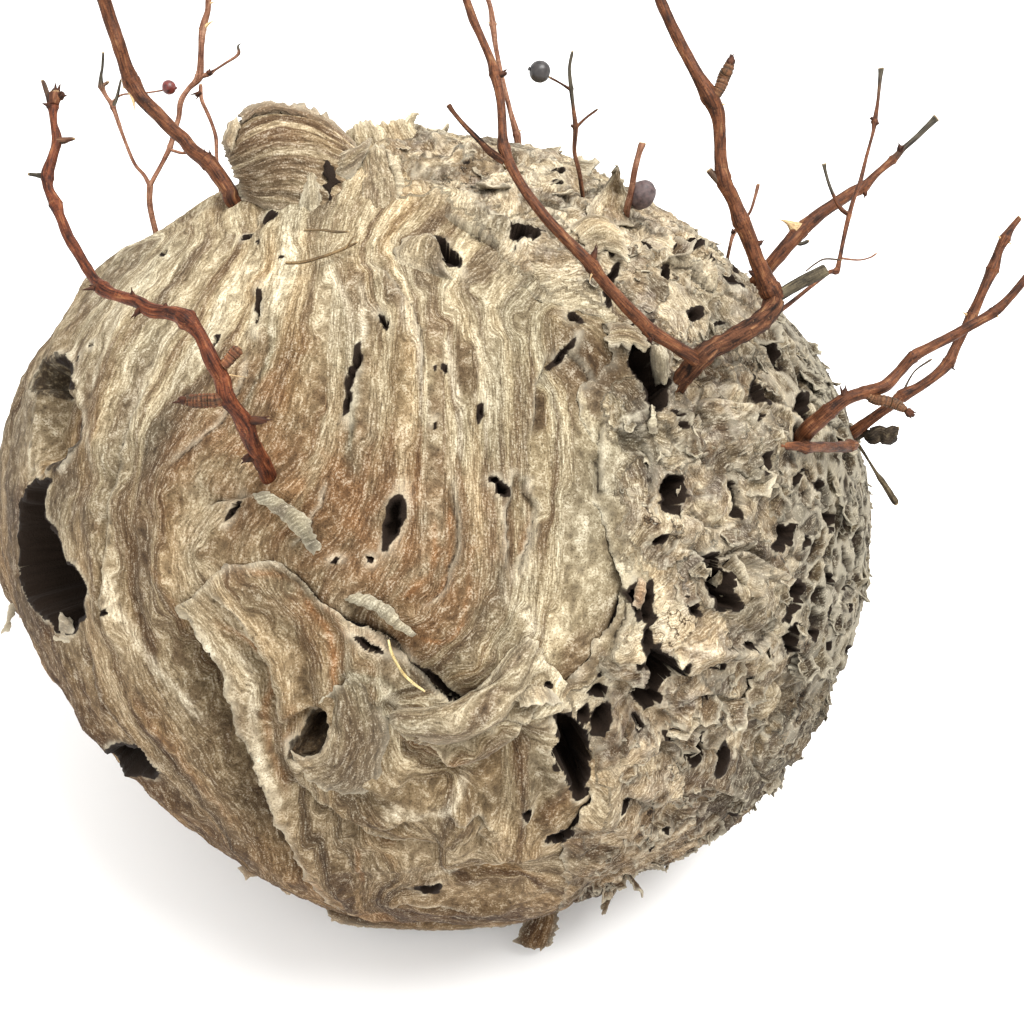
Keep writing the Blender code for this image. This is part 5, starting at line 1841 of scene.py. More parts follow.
# Scatters the flakes over a sheet where it is weathered, free ends mostly down
def flakeTree(shapes):
    tree = bpy.data.node_groups.new("curled flakes", 'GeometryNodeTree')
    face = tree.interface
    face.new_socket("Geometry", in_out='INPUT', socket_type='NodeSocketGeometry')
    for label in ("Flakes per square metre", "Smallest", "Largest", "Turn"):
        face.new_socket(label, in_out='INPUT', socket_type='NodeSocketFloat')
    face.new_socket("Seed", in_out='INPUT', socket_type='NodeSocketInt')
    face.new_socket("Geometry", in_out='OUTPUT', socket_type='NodeSocketGeometry')
    given = tree.nodes.new("NodeGroupInput").outputs

    def named(key):
        return addNode(tree, "GeometryNodeInputNamedAttribute", {"data_type": 'FLOAT'},
                       {"Name": key}).outputs[0]

    def chance(low, high, seed):
        node = addNode(tree, "FunctionNodeRandomValue", {"data_type": 'FLOAT'}, {"Seed": seed})
        feed(tree, node, 2, low)
        feed(tree, node, 3, high)
        return node.outputs[1]

    clumps = addNode(tree, "ShaderNodeTexNoise", inputs={"Scale": 55.0, "Detail": 1.0}).outputs[0]
    weathered = calc(tree, 'MULTIPLY_ADD', named("rough"), 2.0, -1.0, clamp=True)
    shallow = calc(tree, 'LESS_THAN', named("pit"), 0.25)
    thick = calc(tree, 'MULTIPLY_ADD', clumps, 4.0, -1.4, clamp=True)
    share = calc(tree, 'MULTIPLY', calc(tree, 'MULTIPLY', weathered, shallow), thick)
    density = calc(tree, 'MULTIPLY', share, given["Flakes per square metre"])
    scatter = addNode(tree, "GeometryNodeDistributePointsOnFaces", {"distribute_method": 'RANDOM'},
                      links={"Mesh": given["Geometry"], "Density": density, "Seed": given["Seed"]})
    tinted = addNode(tree, "GeometryNodeStoreNamedAttribute", {"data_type": 'FLOAT', "domain": 'POINT'},
                     {"Name": "tint"},
                     {"Geometry": scatter.outputs["Points"], "Value": chance(-1.8, 1.0, 3)})
    upright = addNode(tree, "FunctionNodeAlignRotationToVector", {"axis": 'Z'},
                      links={"Vector": scatter.outputs["Normal"]})
    hanging = addNode(tree, "FunctionNodeAlignRotationToVector", {"axis": 'X', "pivot_axis": 'Z'},
                      {"Vector": (0.15, -0.3, -1.0)}, {"Rotation": upright.outputs[0]})
    spin = addNode(tree, "ShaderNodeCombineXYZ",
                   links={"Z": chance(calc(tree, 'MULTIPLY', given["Turn"], -1.0), given["Turn"], 4)})
    turned = addNode(tree, "FunctionNodeRotateRotation", {"rotation_space": 'LOCAL'},
                     links={"Rotation": hanging.outputs[0], "Rotate By": spin.outputs[0]})
    mostlySmall = calc(tree, 'POWER', chance(0.0, 1.0, 5), 3.0)
    size = addNode(tree, "ShaderNodeMapRange",
                   links={"Value": mostlySmall, "To Min": given["Smallest"], "To Max": given["Largest"]})
    kinds = tree.nodes.new("GeometryNodeJoinGeometry")
    for shape in shapes:
        source = addNode(tree, "GeometryNodeObjectInfo", inputs={"Object": shape, "As Instance": True})
        tree.links.new(source.outputs["Geometry"], kinds.inputs[0])
    pick = addNode(tree, "FunctionNodeRandomValue", {"data_type": 'INT'}, {"Seed": 6})
    pick.inputs[4].default_value = 0
    pick.inputs[5].default_value = len(shapes) - 1
    placed = addNode(tree, "GeometryNodeInstanceOnPoints", inputs={"Pick Instance": True},
                     links={"Points": tinted.outputs[0], "Instance": kinds.outputs[0],
                            "Instance Index": pick.outputs[2], "Rotation": turned.outputs[0],
                            "Scale": size.outputs[0]})
    real = addNode(tree, "GeometryNodeRealizeInstances", links={"Geometry": placed.outputs[0]})
    finish = addNode(tree, "GeometryNodeSetMaterial", inputs={"Material": paperFinish},
                     links={"Geometry": real.outputs[0]})
    out = tree.nodes.new("NodeGroupOutput")
    tree.links.new(finish.outputs[0], out.inputs[0])
    return tree


def addFlakes(name, sheet, tree, seed):
    carrier = bpy.data.objects.new("carrier", sheet.data)
    scene.collection.objects.link(carrier)
    modifier = carrier.modifiers.new("flakes", 'NODES')
    modifier.node_group = tree
    sockets = {item.name: item.identifier for item in tree.interface.items_tree if item.in_out == 'INPUT'}
    modifier[sockets["Flakes per square metre"]] = flakes["perSquareMetre"] * fineness
    modifier[sockets["Smallest"]] = flakes["smallest"] * mm
    modifier[sockets["Largest"]] = flakes["largest"] * mm
    modifier[sockets["Turn"]] = flakes["turn"]
    modifier[sockets["Seed"]] = seed
    ready = carrier.evaluated_get(bpy.context.evaluated_depsgraph_get())
    mesh = bpy.data.meshes.new_from_object(ready)
    carrier.modifiers.remove(modifier)
    bpy.data.objects.remove(carrier)
    mesh.name = name
    addPiece(name, mesh, "nest")
    print("  ", name, len(mesh.polygons), "faces")


shapes = [flakeShape(number) for number in range(flakes["shapes"])]
flakeNodes = flakeTree(shapes)
addFlakes("nest_paper_flakes", nestPieces[2], flakeNodes, 21)
addFlakes("nest_back_flakes", nestPieces[3], flakeNodes, 22)
for shape in shapes:
    bpy.data.objects.remove(shape)
print("stage: curled flakes")

bpy.context.view_layer.update()
for name, strip in paperStrips.items():
    addStrip(name, strip)
print("stage: loose sheets of paper")

# Twigs as they cross the photo.
# bark: the finish of its bark; finish: how it looks, where that is unlike the bark's finish; end: of the
# tip
# route: x and y in pixels, depth in mm, width in pixels; sides: round the tube
# uneven: how much the bark's relief is of the width; ringed: with ring scars all along
# deadFrom: where the bark turns dead and dark towards the tip, as a share of the length
# knots: where, how much thicker, how long in mm
# thorns: where they stand, where they point, width at the foot in pixels
# buds: foot, tip, width in pixels
# shoots: short side shoots, with their route in pixels with widths, ringed or not, how dead
twigs = {
    "gnarled_twig": {
        "bark": "reddish_bark", "end": "broken", "sides": 22, "uneven": 0.08,
        "route": (
            (288, 516, -99, 15), (279, 502, -113, 16), (272, 489, -126, 17), (268, 475, -134, 17),
            (260, 458, -142, 17), (251, 441, -151, 16), (245, 424, -155, 18), (237, 411, -158, 15.5),
            (226, 397, -161, 17), (222, 378, -162, 16), (212, 361, -164, 17), (205, 345, -164, 14),
            (199, 333, -164, 14), (187, 320, -164, 18), (176, 314, -163, 15), (163, 312, -161, 14),
            (150, 310, -160, 14.5), (138, 302, -158, 13), (125, 298, -157, 12.5), (112, 294, -155, 12.5),
            (102, 288, -153, 14), (94, 279, -151, 10.5), (86, 267, -149, 11), (78, 253, -147, 11),
            (69, 238, -145, 11), (61, 219, -142, 10.5), (55.6, 204.5, -140, 12.5), (49, 190, -139, 10),
            (47.5, 175, -137, 12), (53, 155, -135, 9.5), (57, 140, -133, 10), (54, 124, -132, 7.5),
            (53, 110.5, -131, 9), (54, 97, -130, 12),
        ),
        "knots": (
            (245, 424, 0.12, 2.2), (187, 320, 0.22, 1.8), (102, 289, 0.14, 1.4), (222, 380, 0.1, 2.0),
            (55.6, 204.5, 0.16, 0.6), (47.5, 176, 0.16, 1.4), (51, 106, 0.25, 1.2), (226, 398, 0.12, 1.6),
        ),
        "thorns": (((228, 375), (247, 377.5), 2.4),),
        "buds": (
            ((247, 421), (267, 420), 9), ((254, 455), (243, 461), 9.5), ((100, 287), (91, 288), 9),
            ((133, 298), (132, 291), 5), ((165, 309), (166, 303), 5), ((140, 309), (135, 315), 6),
            ((51, 106), (46, 106), 8), ((56, 98), (64, 93), 9), ((56, 99), (55, 88), 9),
        ),
        "shoots": (
            (((47, 176, 6), (40, 175.5, 6), (36, 175, 4.2), (28, 174, 3.6)), False, 1.0),
            (((57, 141, 7), (64, 140.5, 7), (68, 139.5, 5), (75, 138.5, 3.4)), False, 0.5),
            (((50, 104, 6), (48, 96, 5.4), (44, 84, 4.6), (42, 80, 3.2)), False, 0.6),
            (((54, 104, 10), (54.5, 98, 12.5), (55, 91, 11)), False, 0.3),
        ),
    },
    "tall_left_cane": {
        "bark": "brown_bark", "end": "cut", "sides": 22,
        "route": (
            (262, 245, -75, 15), (243, 214, -82, 16), (231, 198, -86, 16), (229, 191, -86, 16),
            (210, 164.5, -86, 16), (192, 150, -85, 14.5), (183.7, 139, -85, 14), (172.7, 130, -85, 14),
            (155.5, 112, -85, 14), (141.7, 98, -85, 14.5), (132, 82, -85, 17), (125, 64, -87, 14),
            (118.6, 44, -89, 14), (111, 22, -90, 14), (104, 0, -92, 14), (95, -28, -95, 13),
        ),
        "knots": ((132, 82, 0.1, 2.0), (208, 163, 0.14, 1.6)),
        "thorns": (((133, 92), (135.5, 115), 11), ((125, 88), (121, 79), 4)),
        "buds": (((208, 164), (210, 152), 6),),
    },
    "back_left_stem": {
        "bark": "pale_bark", "end": "broken",
        "route": (
            (168, 290, -30, 6.5), (157, 238, -34, 6), (150, 206, -36, 6), (150, 184, -38, 6.5),
        ),
    },
    "back_left_arm": {
        "bark": "pale_bark", "end": "broken", "deadFrom": 0.75,
        "route": (
            (150, 186, -38, 5), (144, 175, -38, 4), (134, 162.6, -38, 3.6), (122.4, 134, -39, 3.8),
            (113, 107, -40, 5), (106, 96, -40, 4.2), (101.4, 86, -41, 5.5), (101, 76, -42, 3.4),
            (102.4, 67, -42, 2.8), (103.3, 52, -43, 2.6),
        ),
        "knots": ((101.4, 86, 0.4, 0.7), (113, 107, 0.3, 0.8)),
        "shoots": (
            (((113, 107, 4), (117, 97, 3.4), (121, 79, 2.2)), False, 1.0),
            (((102, 86, 3.4), (109, 81.5, 3.4)), False, 0.6),
        ),
    },
    "back_right_arm": {
        "bark": "pale_bark", "end": "cut",
        "route": (
            (150, 186, -38, 5), (154, 178, -38, 4.5), (162.6, 162.6, -36, 4.5), (170, 147, -35, 5.5),
            (175, 130, -35, 5), (179, 116, -34, 5), (181, 101, -34, 6), (188.4, 89, -33, 5),
            (199, 76.5, -33, 7.5), (201, 53.6, -34, 6), (202.5, 30, -34, 7), (207.6, 11.5, -35, 6),
            (208.5, 0, -36, 6), (212, -18, -37, 6),
        ),
        "knots": ((199, 77, 0.2, 1.2), (202.5, 30, 0.16, 0.9), (170, 147, 0.2, 0.8)),
        "thorns": (
            ((204, 27), (216.5, 19.5), 6), ((208, 4), (216, 2.5), 5), ((203, 33), (197.5, 28.5), 4),
        ),
        "buds": (((201, 92), (195.5, 96), 5),),
        "shoots": ((((171, 150, 3.4), (181.7, 153, 3), (190, 152, 3)), False, 0.0),),
    },
    "hooked_side_twig": {
        "bark": "pale_bark", "end": "pointed", "deadFrom": 0.8,
        "route": (
            (200, 77, -33, 4), (209.5, 73.7, -33, 5), (215, 70, -32, 2.6), (225.8, 63, -32, 2.6),
            (236, 56.5, -31, 3), (239, 52, -31, 3.5), (238, 46, -31, 2.2), (243, 42, -31, 1.2),
        ),
        "buds": (((208, 74), (211, 71), 6),),
    },
    "back_thin_stem": {
        "bark": "pale_bark", "end": "broken",
        "route": (
            (196, 262, -30, 3.4), (206, 224, -32, 2.8), (210.4, 216, -33, 2.8), (220, 199, -34, 3),
            (218.5, 180, -34, 3), (216.5, 153, -34, 3.6), (216, 138, -33, 4), (212, 124, -33, 3.6),
            (206.6, 111, -33, 4), (201.5, 99, -33, 4), (200.5, 84, -33, 4),
        ),
    },
    "red_berry_stalk": {
        "bark": "pale_bark", "end": "broken",
        "route": (
            (112, 102, -40, 2.4), (122.4, 94.7, -40, 2), (145, 93, -40, 1.8), (165, 90, -40, 1.8),
        ),
    },
    "crown_stub": {
        "bark": "dark_bark", "end": "broken", "sides": 26, "uneven": 0.16,
        "route": (
            (668, 412, -80, 18), (676, 387, -109, 19), (689, 371, -117, 19), (701.5, 357, -122, 22),
            (712, 349, -121, 19), (724.7, 343, -120, 19), (745.7, 331, -118, 19), (758, 323, -115, 20),
            (770.6, 311, -112, 21), (775, 299, -110, 21),
        ),
    },
    "centre_cane": {
        "bark": "brown_bark", "end": "cut", "sides": 20,
        "route": (
            (697, 360, -122, 15), (684.7, 352, -125, 13.5), (667.8, 341.5, -128, 13),
            (652, 332, -130, 14), (642.6, 323, -132, 13.5), (623.6, 303.6, -135, 13),
            (604.7, 282.6, -137, 12), (592, 266, -139, 14), (585.8, 259, -140, 12.5),
            (564.7, 238, -141, 11), (543.7, 215, -142, 11), (524.7, 190, -142, 10),
            (511, 166, -142, 10.5), (504, 148, -141, 12), (502.6, 134, -141, 9.5), (501.5, 110, -140, 9),
            (499, 92, -139, 9), (495, 74, -138, 11), (490, 58, -137, 8.5), (480, 35, -136, 8),
            (473, 19, -135, 9), (467, 2, -134, 8), (458, -22, -133, 7.5),
        ),
        "knots": (
            (592, 266, 0.14, 1.4), (504, 148, 0.14, 2.0), (495, 73, 0.2, 1.2), (650, 331, 0.1, 1.4),
        ),
        "thorns": (((594, 270), (589.5, 282), 7),),
        "buds": (((592, 262), (596, 249), 7), ((497, 76), (507, 73), 6), ((651, 333), (651, 342), 6)),
    },
    "centre_dead_twig": {
        "bark": "dark_bark", "end": "cut",
        "route": (
            (504, 162, -142, 7), (496, 156, -142, 8), (488, 150, -142, 7.5), (480.5, 141.6, -142, 6),
            (465.8, 126.8, -141, 5), (454, 113, -140, 4.6), (448.5, 105, -140, 6),
        ),
    },
    "tall_right_cane": {
        "bark": "brown_bark", "end": "cut", "sides": 24, "uneven": 0.06,
        "route": (
            (775, 299, -110, 20), (770, 290, -111, 20), (764.5, 279, -112, 18), (756, 258.6, -114, 16.5),
            (748, 236, -116, 16), (741, 221, -118, 17), (734, 201.4, -119, 14), (724, 181, -121, 15.5),
            (720.6, 160, -122, 13), (719.6, 132, -123, 12.5), (717, 112, -124, 14.5),
            (709.4, 96, -125, 17), (698, 76, -126, 13), (685, 52.4, -126, 12), (673.7, 30, -127, 11.5),
            (662, 4, -128, 11.5), (652, -22, -129, 11),
        ),
        "knots": (
            (709, 96, 0.12, 2.6), (741, 221, 0.12, 1.4), (722, 178, 0.12, 1.6), (770, 288, 0.16, 2.4),
        ),
        "thorns": (((717, 107), (728.5, 104), 9),),
        "buds": (
            ((738, 222), (743, 219), 10), ((755, 246), (762.5, 241), 6), ((755, 275), (749, 271), 5),
        ),
        "shoots": ((((719, 181, 8), (713, 175, 7), (708.5, 169.5, 7)), False, 0.6),),
    },
    "right_cane_spur": {
        "bark": "brown_bark", "end": "bud", "ringed": True,
        "route": (
            (712, 101, -125, 9), (718.6, 91, -126, 11), (722, 83, -126, 12), (724.5, 76, -126, 12.5),
            (727.5, 70, -127, 12), (730.5, 62, -127, 9),
        ),
    },
    "cut_stub": {
        "bark": "olive_bark", "end": "cut", "sides": 20,
        "route": (
            (774, 299, -110, 12), (783, 293, -110, 12), (803, 281.5, -109, 12.6), (819, 273.5, -108, 13),
            (826, 269.5, -108, 12.5),
        ),
    },
    "thin_right_twig": {
        "bark": "brown_bark", "end": "broken", "deadFrom": 0.92,
        "route": (
            (774, 312, -110, 5), (782.4, 309, -107, 5), (811, 286.5, -96, 4.2), (829, 272.5, -89, 4.4),
            (836.5, 271, -87, 6), (839.6, 259, -85, 4.6), (843.6, 239, -81, 4.4), (848.7, 216.3, -77, 5),
            (853.8, 199, -74, 4.4), (860.4, 181, -72, 4.6), (866.5, 156.5, -70, 3.6),
            (872.6, 134, -67, 3.6), (874.7, 121.8, -66, 5.5), (877.8, 101.4, -64, 3.6),
            (879.8, 81, -63, 4.2), (880.8, 72, -62, 5.5), (881, 68, -62, 8),
        ),
        "knots": ((836.5, 271, 0.3, 0.8), (874.7, 122, 0.5, 0.7), (848.7, 216, 0.2, 1.0)),
        "buds": (((874.7, 122), (879, 124), 4), ((874.7, 121), (871, 117), 3.4)),
        "shoots": ((((806, 271, 1.8), (815, 264, 1.8), (825, 259, 2), (842, 260, 2)), False, 0.7),),
    },
    "thin_right_side_twig": {
        "bark": "brown_bark", "end": "broken", "deadFrom": 0.45,
        "route": (
            (849, 215, -77, 4.4), (840, 207.5, -76, 4.6), (830.8, 189, -75, 3.4), (825.5, 172, -74, 3.2),
            (824, 163.5, -74, 5),
        ),
    },
    "pale_thin_twig": {
        "bark": "pale_bark", "end": "broken",
        "route": (
            (839, 258, -84, 2.6), (858, 260, -83, 2), (870, 257.5, -82, 1.8), (877, 253, -82, 2.4),
        ),
    },
    "thorny_branch": {
        "bark": "brown_bark", "end": "broken", "sides": 20, "deadFrom": 0.80,
        "route": (
            (735, 310, -45, 14), (757, 281, -55, 14.5), (770.6, 265, -61, 14.5), (787, 246, -62, 15),
            (801, 230, -61, 15.5), (819.6, 214.5, -60, 13), (836, 203, -59, 12), (852, 192.5, -57, 12),
            (863.5, 187, -56, 11), (876.7, 173.5, -55, 7.2), (893, 159.6, -54, 8), (903, 149, -53, 5.8),
            (915.5, 138, -52, 5.8), (931, 123, -50, 6.4), (936.5, 117.5, -50, 9),
        ),
        "knots": ((893, 160, 0.3, 0.9), (863, 188, 0.16, 1.4), (801, 230, 0.1, 2.2)),
        "thorns": (((796, 229), (775.5, 218.5), 18),),
        "buds": (((901, 152), (899, 145), 6.5), ((864, 190), (866, 196), 5)),
        "shoots": ((((793, 241, 4), (800, 244, 4), (809, 241, 4.6)), False, 1.0),),
    },
    "low_right_cane": {
        "bark": "brown_bark", "end": "cut", "sides": 22,
        "route": (
            (788, 462, -62, 17), (803.9, 434.6, -89, 18), (819, 420, -94, 17.5), (829.4, 411, -96, 16),
            (845.7, 399, -97, 13.5), (866, 392, -97, 12), (884.5, 386, -97, 13), (898.7, 372.5, -96, 11),
            (913, 357, -96, 12), (933.4, 345.5, -96, 10.5), (953.8, 335, -96, 10.5),
            (976.3, 322.5, -96, 10), (994.6, 311.5, -96, 10.5), (1009, 298, -96, 8.6),
            (1024, 280.5, -96, 8.5), (1042, 258, -96, 8.5),
        ),
        "knots": (
            (913, 357, 0.12, 1.2), (994.6, 312, 0.12, 1.2), (866, 393, 0.12, 2.2), (829, 411, 0.12, 1.2),
        ),
        "thorns": (((995, 313), (999, 320.5), 7),),
        "buds": (((844, 400), (845.5, 388), 7), ((828, 417), (827, 411), 5)),
        "shoots": ((((850, 396, 3), (858, 389, 2.4), (870, 385, 1.4)), False, 1.0),),
    },
    "low_right_spur": {
        "bark": "brown_bark", "end": "bud", "ringed": True,
        "route": (
            (866, 393, -97, 9), (874, 399, -97, 10.5), (884.5, 401, -98, 11), (895, 404, -98, 11),
            (903, 408.5, -99, 8), (909, 412.5, -99, 3),
        ),
    },
    "far_right_cane": {
        "bark": "brown_bark", "end": "broken", "sides": 18,
        "route": (
            (828, 452, -25, 12), (847.7, 436.7, -40, 12), (856, 430.6, -44, 12.5), (874, 417, -48, 10.5),
            (890, 406, -50, 10.5), (902.8, 395.5, -50, 12.5), (919, 387, -50, 10.5),
            (935.5, 375.5, -50, 10.5), (948, 363, -49, 12), (955.9, 347, -48, 10), (964, 330.6, -48, 9.5),
            (972, 315, -47, 11), (982.4, 291.8, -47, 9.5), (992.6, 269.4, -46, 12), (998.7, 251, -46, 9),
            (1004.8, 238.8, -46, 10.5), (1011, 228.6, -45, 7), (1020, 217.3, -45, 5.5),
        ),
        "knots": (
            (903, 395, 0.14, 1.6), (948, 363, 0.16, 1.2), (972, 315, 0.16, 1.0), (992.6, 270, 0.2, 1.0),
            (1005, 239, 0.2, 0.9),
        ),
        "thorns": (
            ((969, 317), (959, 310.5), 6), ((1003, 240), (994.5, 235.5), 6),
            ((1006, 241), (1013, 246), 6), ((993, 271), (1001.5, 274), 6),
        ),
        "buds": (((948, 364), (954, 367), 6),),
        "shoots": ((((903, 392, 2.6), (910, 378, 2), (917, 369, 1.8), (932, 359, 2.6)), False, 0.8),),
    },
    "broken_red_twig": {
        "bark": "reddish_bark", "finish": "brown_bark", "end": "broken", "sides": 18, "uneven": 0.12,
        "route": (
            (779.4, 446, -100, 6), (787, 446, -99, 8.5), (796.7, 446, -97, 9.5), (805, 447.5, -95, 11),
            (819, 447, -89, 10.5), (837.5, 447, -80, 11), (855, 445, -72, 11),
        ),
        "knots": ((805, 447, 0.2, 1.0), (850, 445, 0.15, 0.8)),
    },
    "leaf_shred": {
        "bark": "dry_leaf", "finish": "leaf_blade", "end": "broken", "uneven": 0.42,
        "route": (
            (846, 441, -38, 6), (856, 438, -42, 9), (864, 434, -44, 8), (872, 437, -46, 13),
            (880, 432, -47, 12), (887, 436, -47, 15), (893, 431, -48, 13), (899, 428, -48, 5),
        ),
    },
    "leaf_stalk": {
        "bark": "dry_leaf", "end": "broken", "uneven": 0.2,
        "route": (
            (852, 436, -38, 3), (860, 447, -42, 3.5), (867, 458, -44, 2.6), (874, 469.4, -45, 3),
            (881, 480, -46, 5.5), (889, 492, -47, 7), (896.7, 504.5, -47, 8.5),
        ),
    },
    "back_cane": {
        "bark": "pale_bark", "end": "cut",
        "route": (
            (522, 190, -38, 6), (518.5, 150, -44, 7), (516.5, 134, -46, 7.5), (510, 110, -47, 5),
            (503, 82, -48, 5), (496.5, 51, -49, 5), (493, 26, -50, 6.5), (491, 10, -51, 5),
            (487, -4, -51, 5), (482, -22, -52, 5),
        ),
        "knots": ((516.5, 134, 0.2, 0.9), (493, 25, 0.3, 0.6)),
        "thorns": (((517, 133), (523.5, 129), 5), ((493, 26), (486, 21), 4), ((493, 26), (499, 22), 4)),
    },
    "berry_twig": {
        "bark": "dark_bark", "end": "broken", "deadFrom": 0.7,
        "route": (
            (592, 232, -84, 4), (584.7, 208, -90, 4), (579.4, 173, -96, 4.6), (574.5, 152, -96, 4.4),
            (575.5, 128, -96, 5.2), (573, 106, -95, 4), (571, 88, -95, 4.4), (569.5, 68, -95, 3.4),
            (572.5, 51, -95, 3.4),
        ),
        "knots": ((575.5, 128, 0.3, 0.7), (571, 88, 0.3, 0.6)),
        "buds": (((575, 128), (571, 125), 3),),
    },
    "berry_side_twig": {
        "bark": "dark_bark", "end": "broken",
        "route": (
            (575.5, 128, -96, 3.6), (585.8, 118, -95, 2.6), (598, 109, -94, 2.6),
        ),
    },
    "berry_stalk": {
        "bark": "dark_bark", "end": "broken",
        "route": (
            (571, 90, -95, 3.4), (560, 83, -96, 2.2), (549, 77, -97, 2.6),
        ),
    },
    "short_back_twig": {
        "bark": "dark_bark", "finish": "pale_bark", "end": "broken",
        "route": (
            (625, 240, -68, 7.5), (626.8, 211, -89, 7), (631, 192, -94, 6.4), (635, 169, -97, 6.2),
            (640, 150, -98, 6.6), (642.6, 143, -98, 8.5),
        ),
    },
    "far_back_twig": {
        "bark": "pale_bark", "end": "broken",
        "route": (
            (722, 285, -20, 4), (729.8, 247, -34, 3.4), (734, 233, -35, 4.6), (741, 224, -35, 3),
            (750, 212, -36, 3), (755, 197, -37, 3.2), (758.4, 184, -37, 4.2),
        ),
        "buds": (((734, 233), (732, 230), 5),),
    },
    "stray_stick": {
        "bark": "dark_bark", "finish": "tan_stick", "end": "broken", "uneven": 0.14,
        "route": (
            (286, 263, -119, 3.6), (300, 262.5, -120, 3.4), (313.5, 259.5, -121, 3.4),
            (336, 252, -120, 3), (348, 247, -119, 2.6), (357.6, 242, -119, 2.4),
        ),
        "shoots": (
            (((304, 230.5, 2.2), (322, 230, 2.6), (336, 232, 2.8), (349, 231.5, 2.2)), False, 0.3),
            (((345, 249, 2), (352, 239, 1.6), (356, 236, 1.2)), False, 0.0),
        ),
    },
    "straw_sliver": {
        "bark": "straw", "end": "broken",
        "route": (
            (388.5, 640, -136, 2.4), (392, 654, -137, 3), (402, 672, -138, 3), (413, 683, -137, 2.8),
            (425, 691.5, -136, 2.2),
        ),
    },
    "gnarled_spur_left": {
        "bark": "reddish_bark", "end": "broken",
        "buds": (((187, 400.5), (177.5, 400), 8.5),),
        "shoots": (
            (((222, 397, 12), (217, 400, 14), (208, 400.5, 14.5), (196, 401, 14), (188, 400.5, 12),
              (185, 400.5, 10)), True, 0.0),
        ),
    },
    "gnarled_spur_right": {
        "bark": "reddish_bark", "end": "broken",
        "shoots": (
            (((222, 366, 10), (227, 362, 11), (232, 356, 12), (237, 350.5, 12), (240, 347, 9)), True, 0.0),
        ),
    },
}


# Points at even steps along a smooth curve through rows of x, y, z and width
def evenly(rows, step):
    rows = np.array(rows, float)
    padded = np.vstack([2 * rows[0] - rows[1], rows, 2 * rows[-1] - rows[-2]])
    curve = [rows[0]]
    for i in range(len(rows) - 1):
        for t in np.linspace(0, 1, 9)[1:]:
            curve.append(catmull(*padded[i:i + 4], t))
    curve = np.array(curve)
    lengths = np.concatenate([[0], np.cumsum(np.linalg.norm(np.diff(curve[:, :3], axis=0), axis=1))])
    count = max(4, int(lengths[-1] / step) + 1)
    places = np.linspace(0, lengths[-1], count)
    return np.stack([np.interp(places, lengths, curve[:, k]) for k in range(4)], 1), places


# Gathers closed tubes into one mesh; each vertex knows its place on the bark and what it is
class Wood:

    def __init__(self):
        self.vertices, self.faces, self.bark, self.parts = [], [], [], []
        self.count = 0

    def add(self, vertices, faces, bark, parts):
        self.vertices.append(vertices)
        self.faces += [[self.count + i for i in face] for face in faces]
        self.bark.append(bark)
        self.parts.append(parts)
        self.count += len(vertices)

    # A tube along a curve of x, y, z and width. Parts: thorn, bud, cut wood, dead bark
    def tube(self, curve, places, radii, sides, parts, cutEnd=True, flatten=1.0):
        ahead = unit(np.gradient(curve[:, :3], axis=0), 1e-9)
        across = np.cross(ahead[0], (0.13, 0.21, 0.97))
        angles = 2 * pi * np.arange(sides) / sides
        rows, barks = [], []
        for i in range(len(curve)):
            across = across - ahead[i] * (across @ ahead[i])
            across /= np.linalg.norm(across)
            other = np.cross(ahead[i], across)
            spoke = np.cos(angles)[:, None] * across + flatten * np.sin(angles)[:, None] * other
            rows.append(curve[i, :3] + spoke * radii[i][:, None])
            barks.append(np.stack([np.cos(angles) * radii[i], np.sin(angles) * radii[i],
                                   np.full(sides, places[i])], 1))
        vertices = np.vstack(rows + [curve[:1, :3], curve[-1:, :3]])
        bark = np.vstack(barks + [(0, 0, places[0]), (0, 0, places[-1])])
        faces = []
        for i in range(len(curve) - 1):
            for k in range(sides):
                n = (k + 1) % sides
                faces.append((i * sides + k, i * sides + n, (i + 1) * sides + n, (i + 1) * sides + k))
        first, last = len(curve) * sides, len(curve) * sides + 1
        for k in range(sides):
            n = (k + 1) % sides
            faces.append((first, n, k))
            faces.append((last, (len(curve) - 1) * sides + k, (len(curve) - 1) * sides + n))
        part = np.repeat(parts, sides, 0)
        ends = np.array([parts[0], parts[-1]])
        if cutEnd:
            ends[1, 2] = 1.0
        self.add(vertices, faces, bark, np.vstack([part, ends]))

    def mesh(self, name, material):
        mesh = bpy.data.meshes.new(name)
        mesh.from_pydata(np.vstack(self.vertices) * mm, [], self.faces)
        mesh.shade_smooth()
        mesh.set_sharp_from_angle(angle=radians(60))
        bark = mesh.attributes.new("bark", 'FLOAT_VECTOR', 'POINT')
        bark.data.foreach_set("vector", np.vstack(self.bark).astype(np.float32).ravel())
        parts = mesh.attributes.new("parts", 'FLOAT_COLOR', 'POINT')
        parts.data.foreach_set("color", np.vstack(self.parts).astype(np.float32).ravel())
        mesh.materials.append(material)
        return mesh


# Width in mm of so many pixels at a depth
def toMm(pixels, depth):
    return pixels * (photo["distance"] + depth) / focal


# Pixels where points in space are seen
def onPicture(points):
    offset = points - cameraPoint
    far = -(offset @ toCamera)
    half = photo["size"] / 2
    right, up = offset @ pictureRight / far, offset @ pictureUp / far
    return np.stack([half + focal * right, half - focal * up], 1)


# The depth of the twig where it crosses a pixel, and the place along it
def depthAt(curve, x, y):
    seen = onPicture(curve[:, :3])
    k = int(np.hypot(seen[:, 0] - x, seen[:, 1] - y).argmin())
    return -((curve[k, :3] - cameraPoint) @ toCamera) - photo["distance"], k


# What the points along a tube are, for the bark's material
def partRow(count, thorn=0.0, bud=0.0, cut=0.0, dead=0.0):
    return np.tile([thorn, bud, cut, dead], (count, 1)).astype(float)


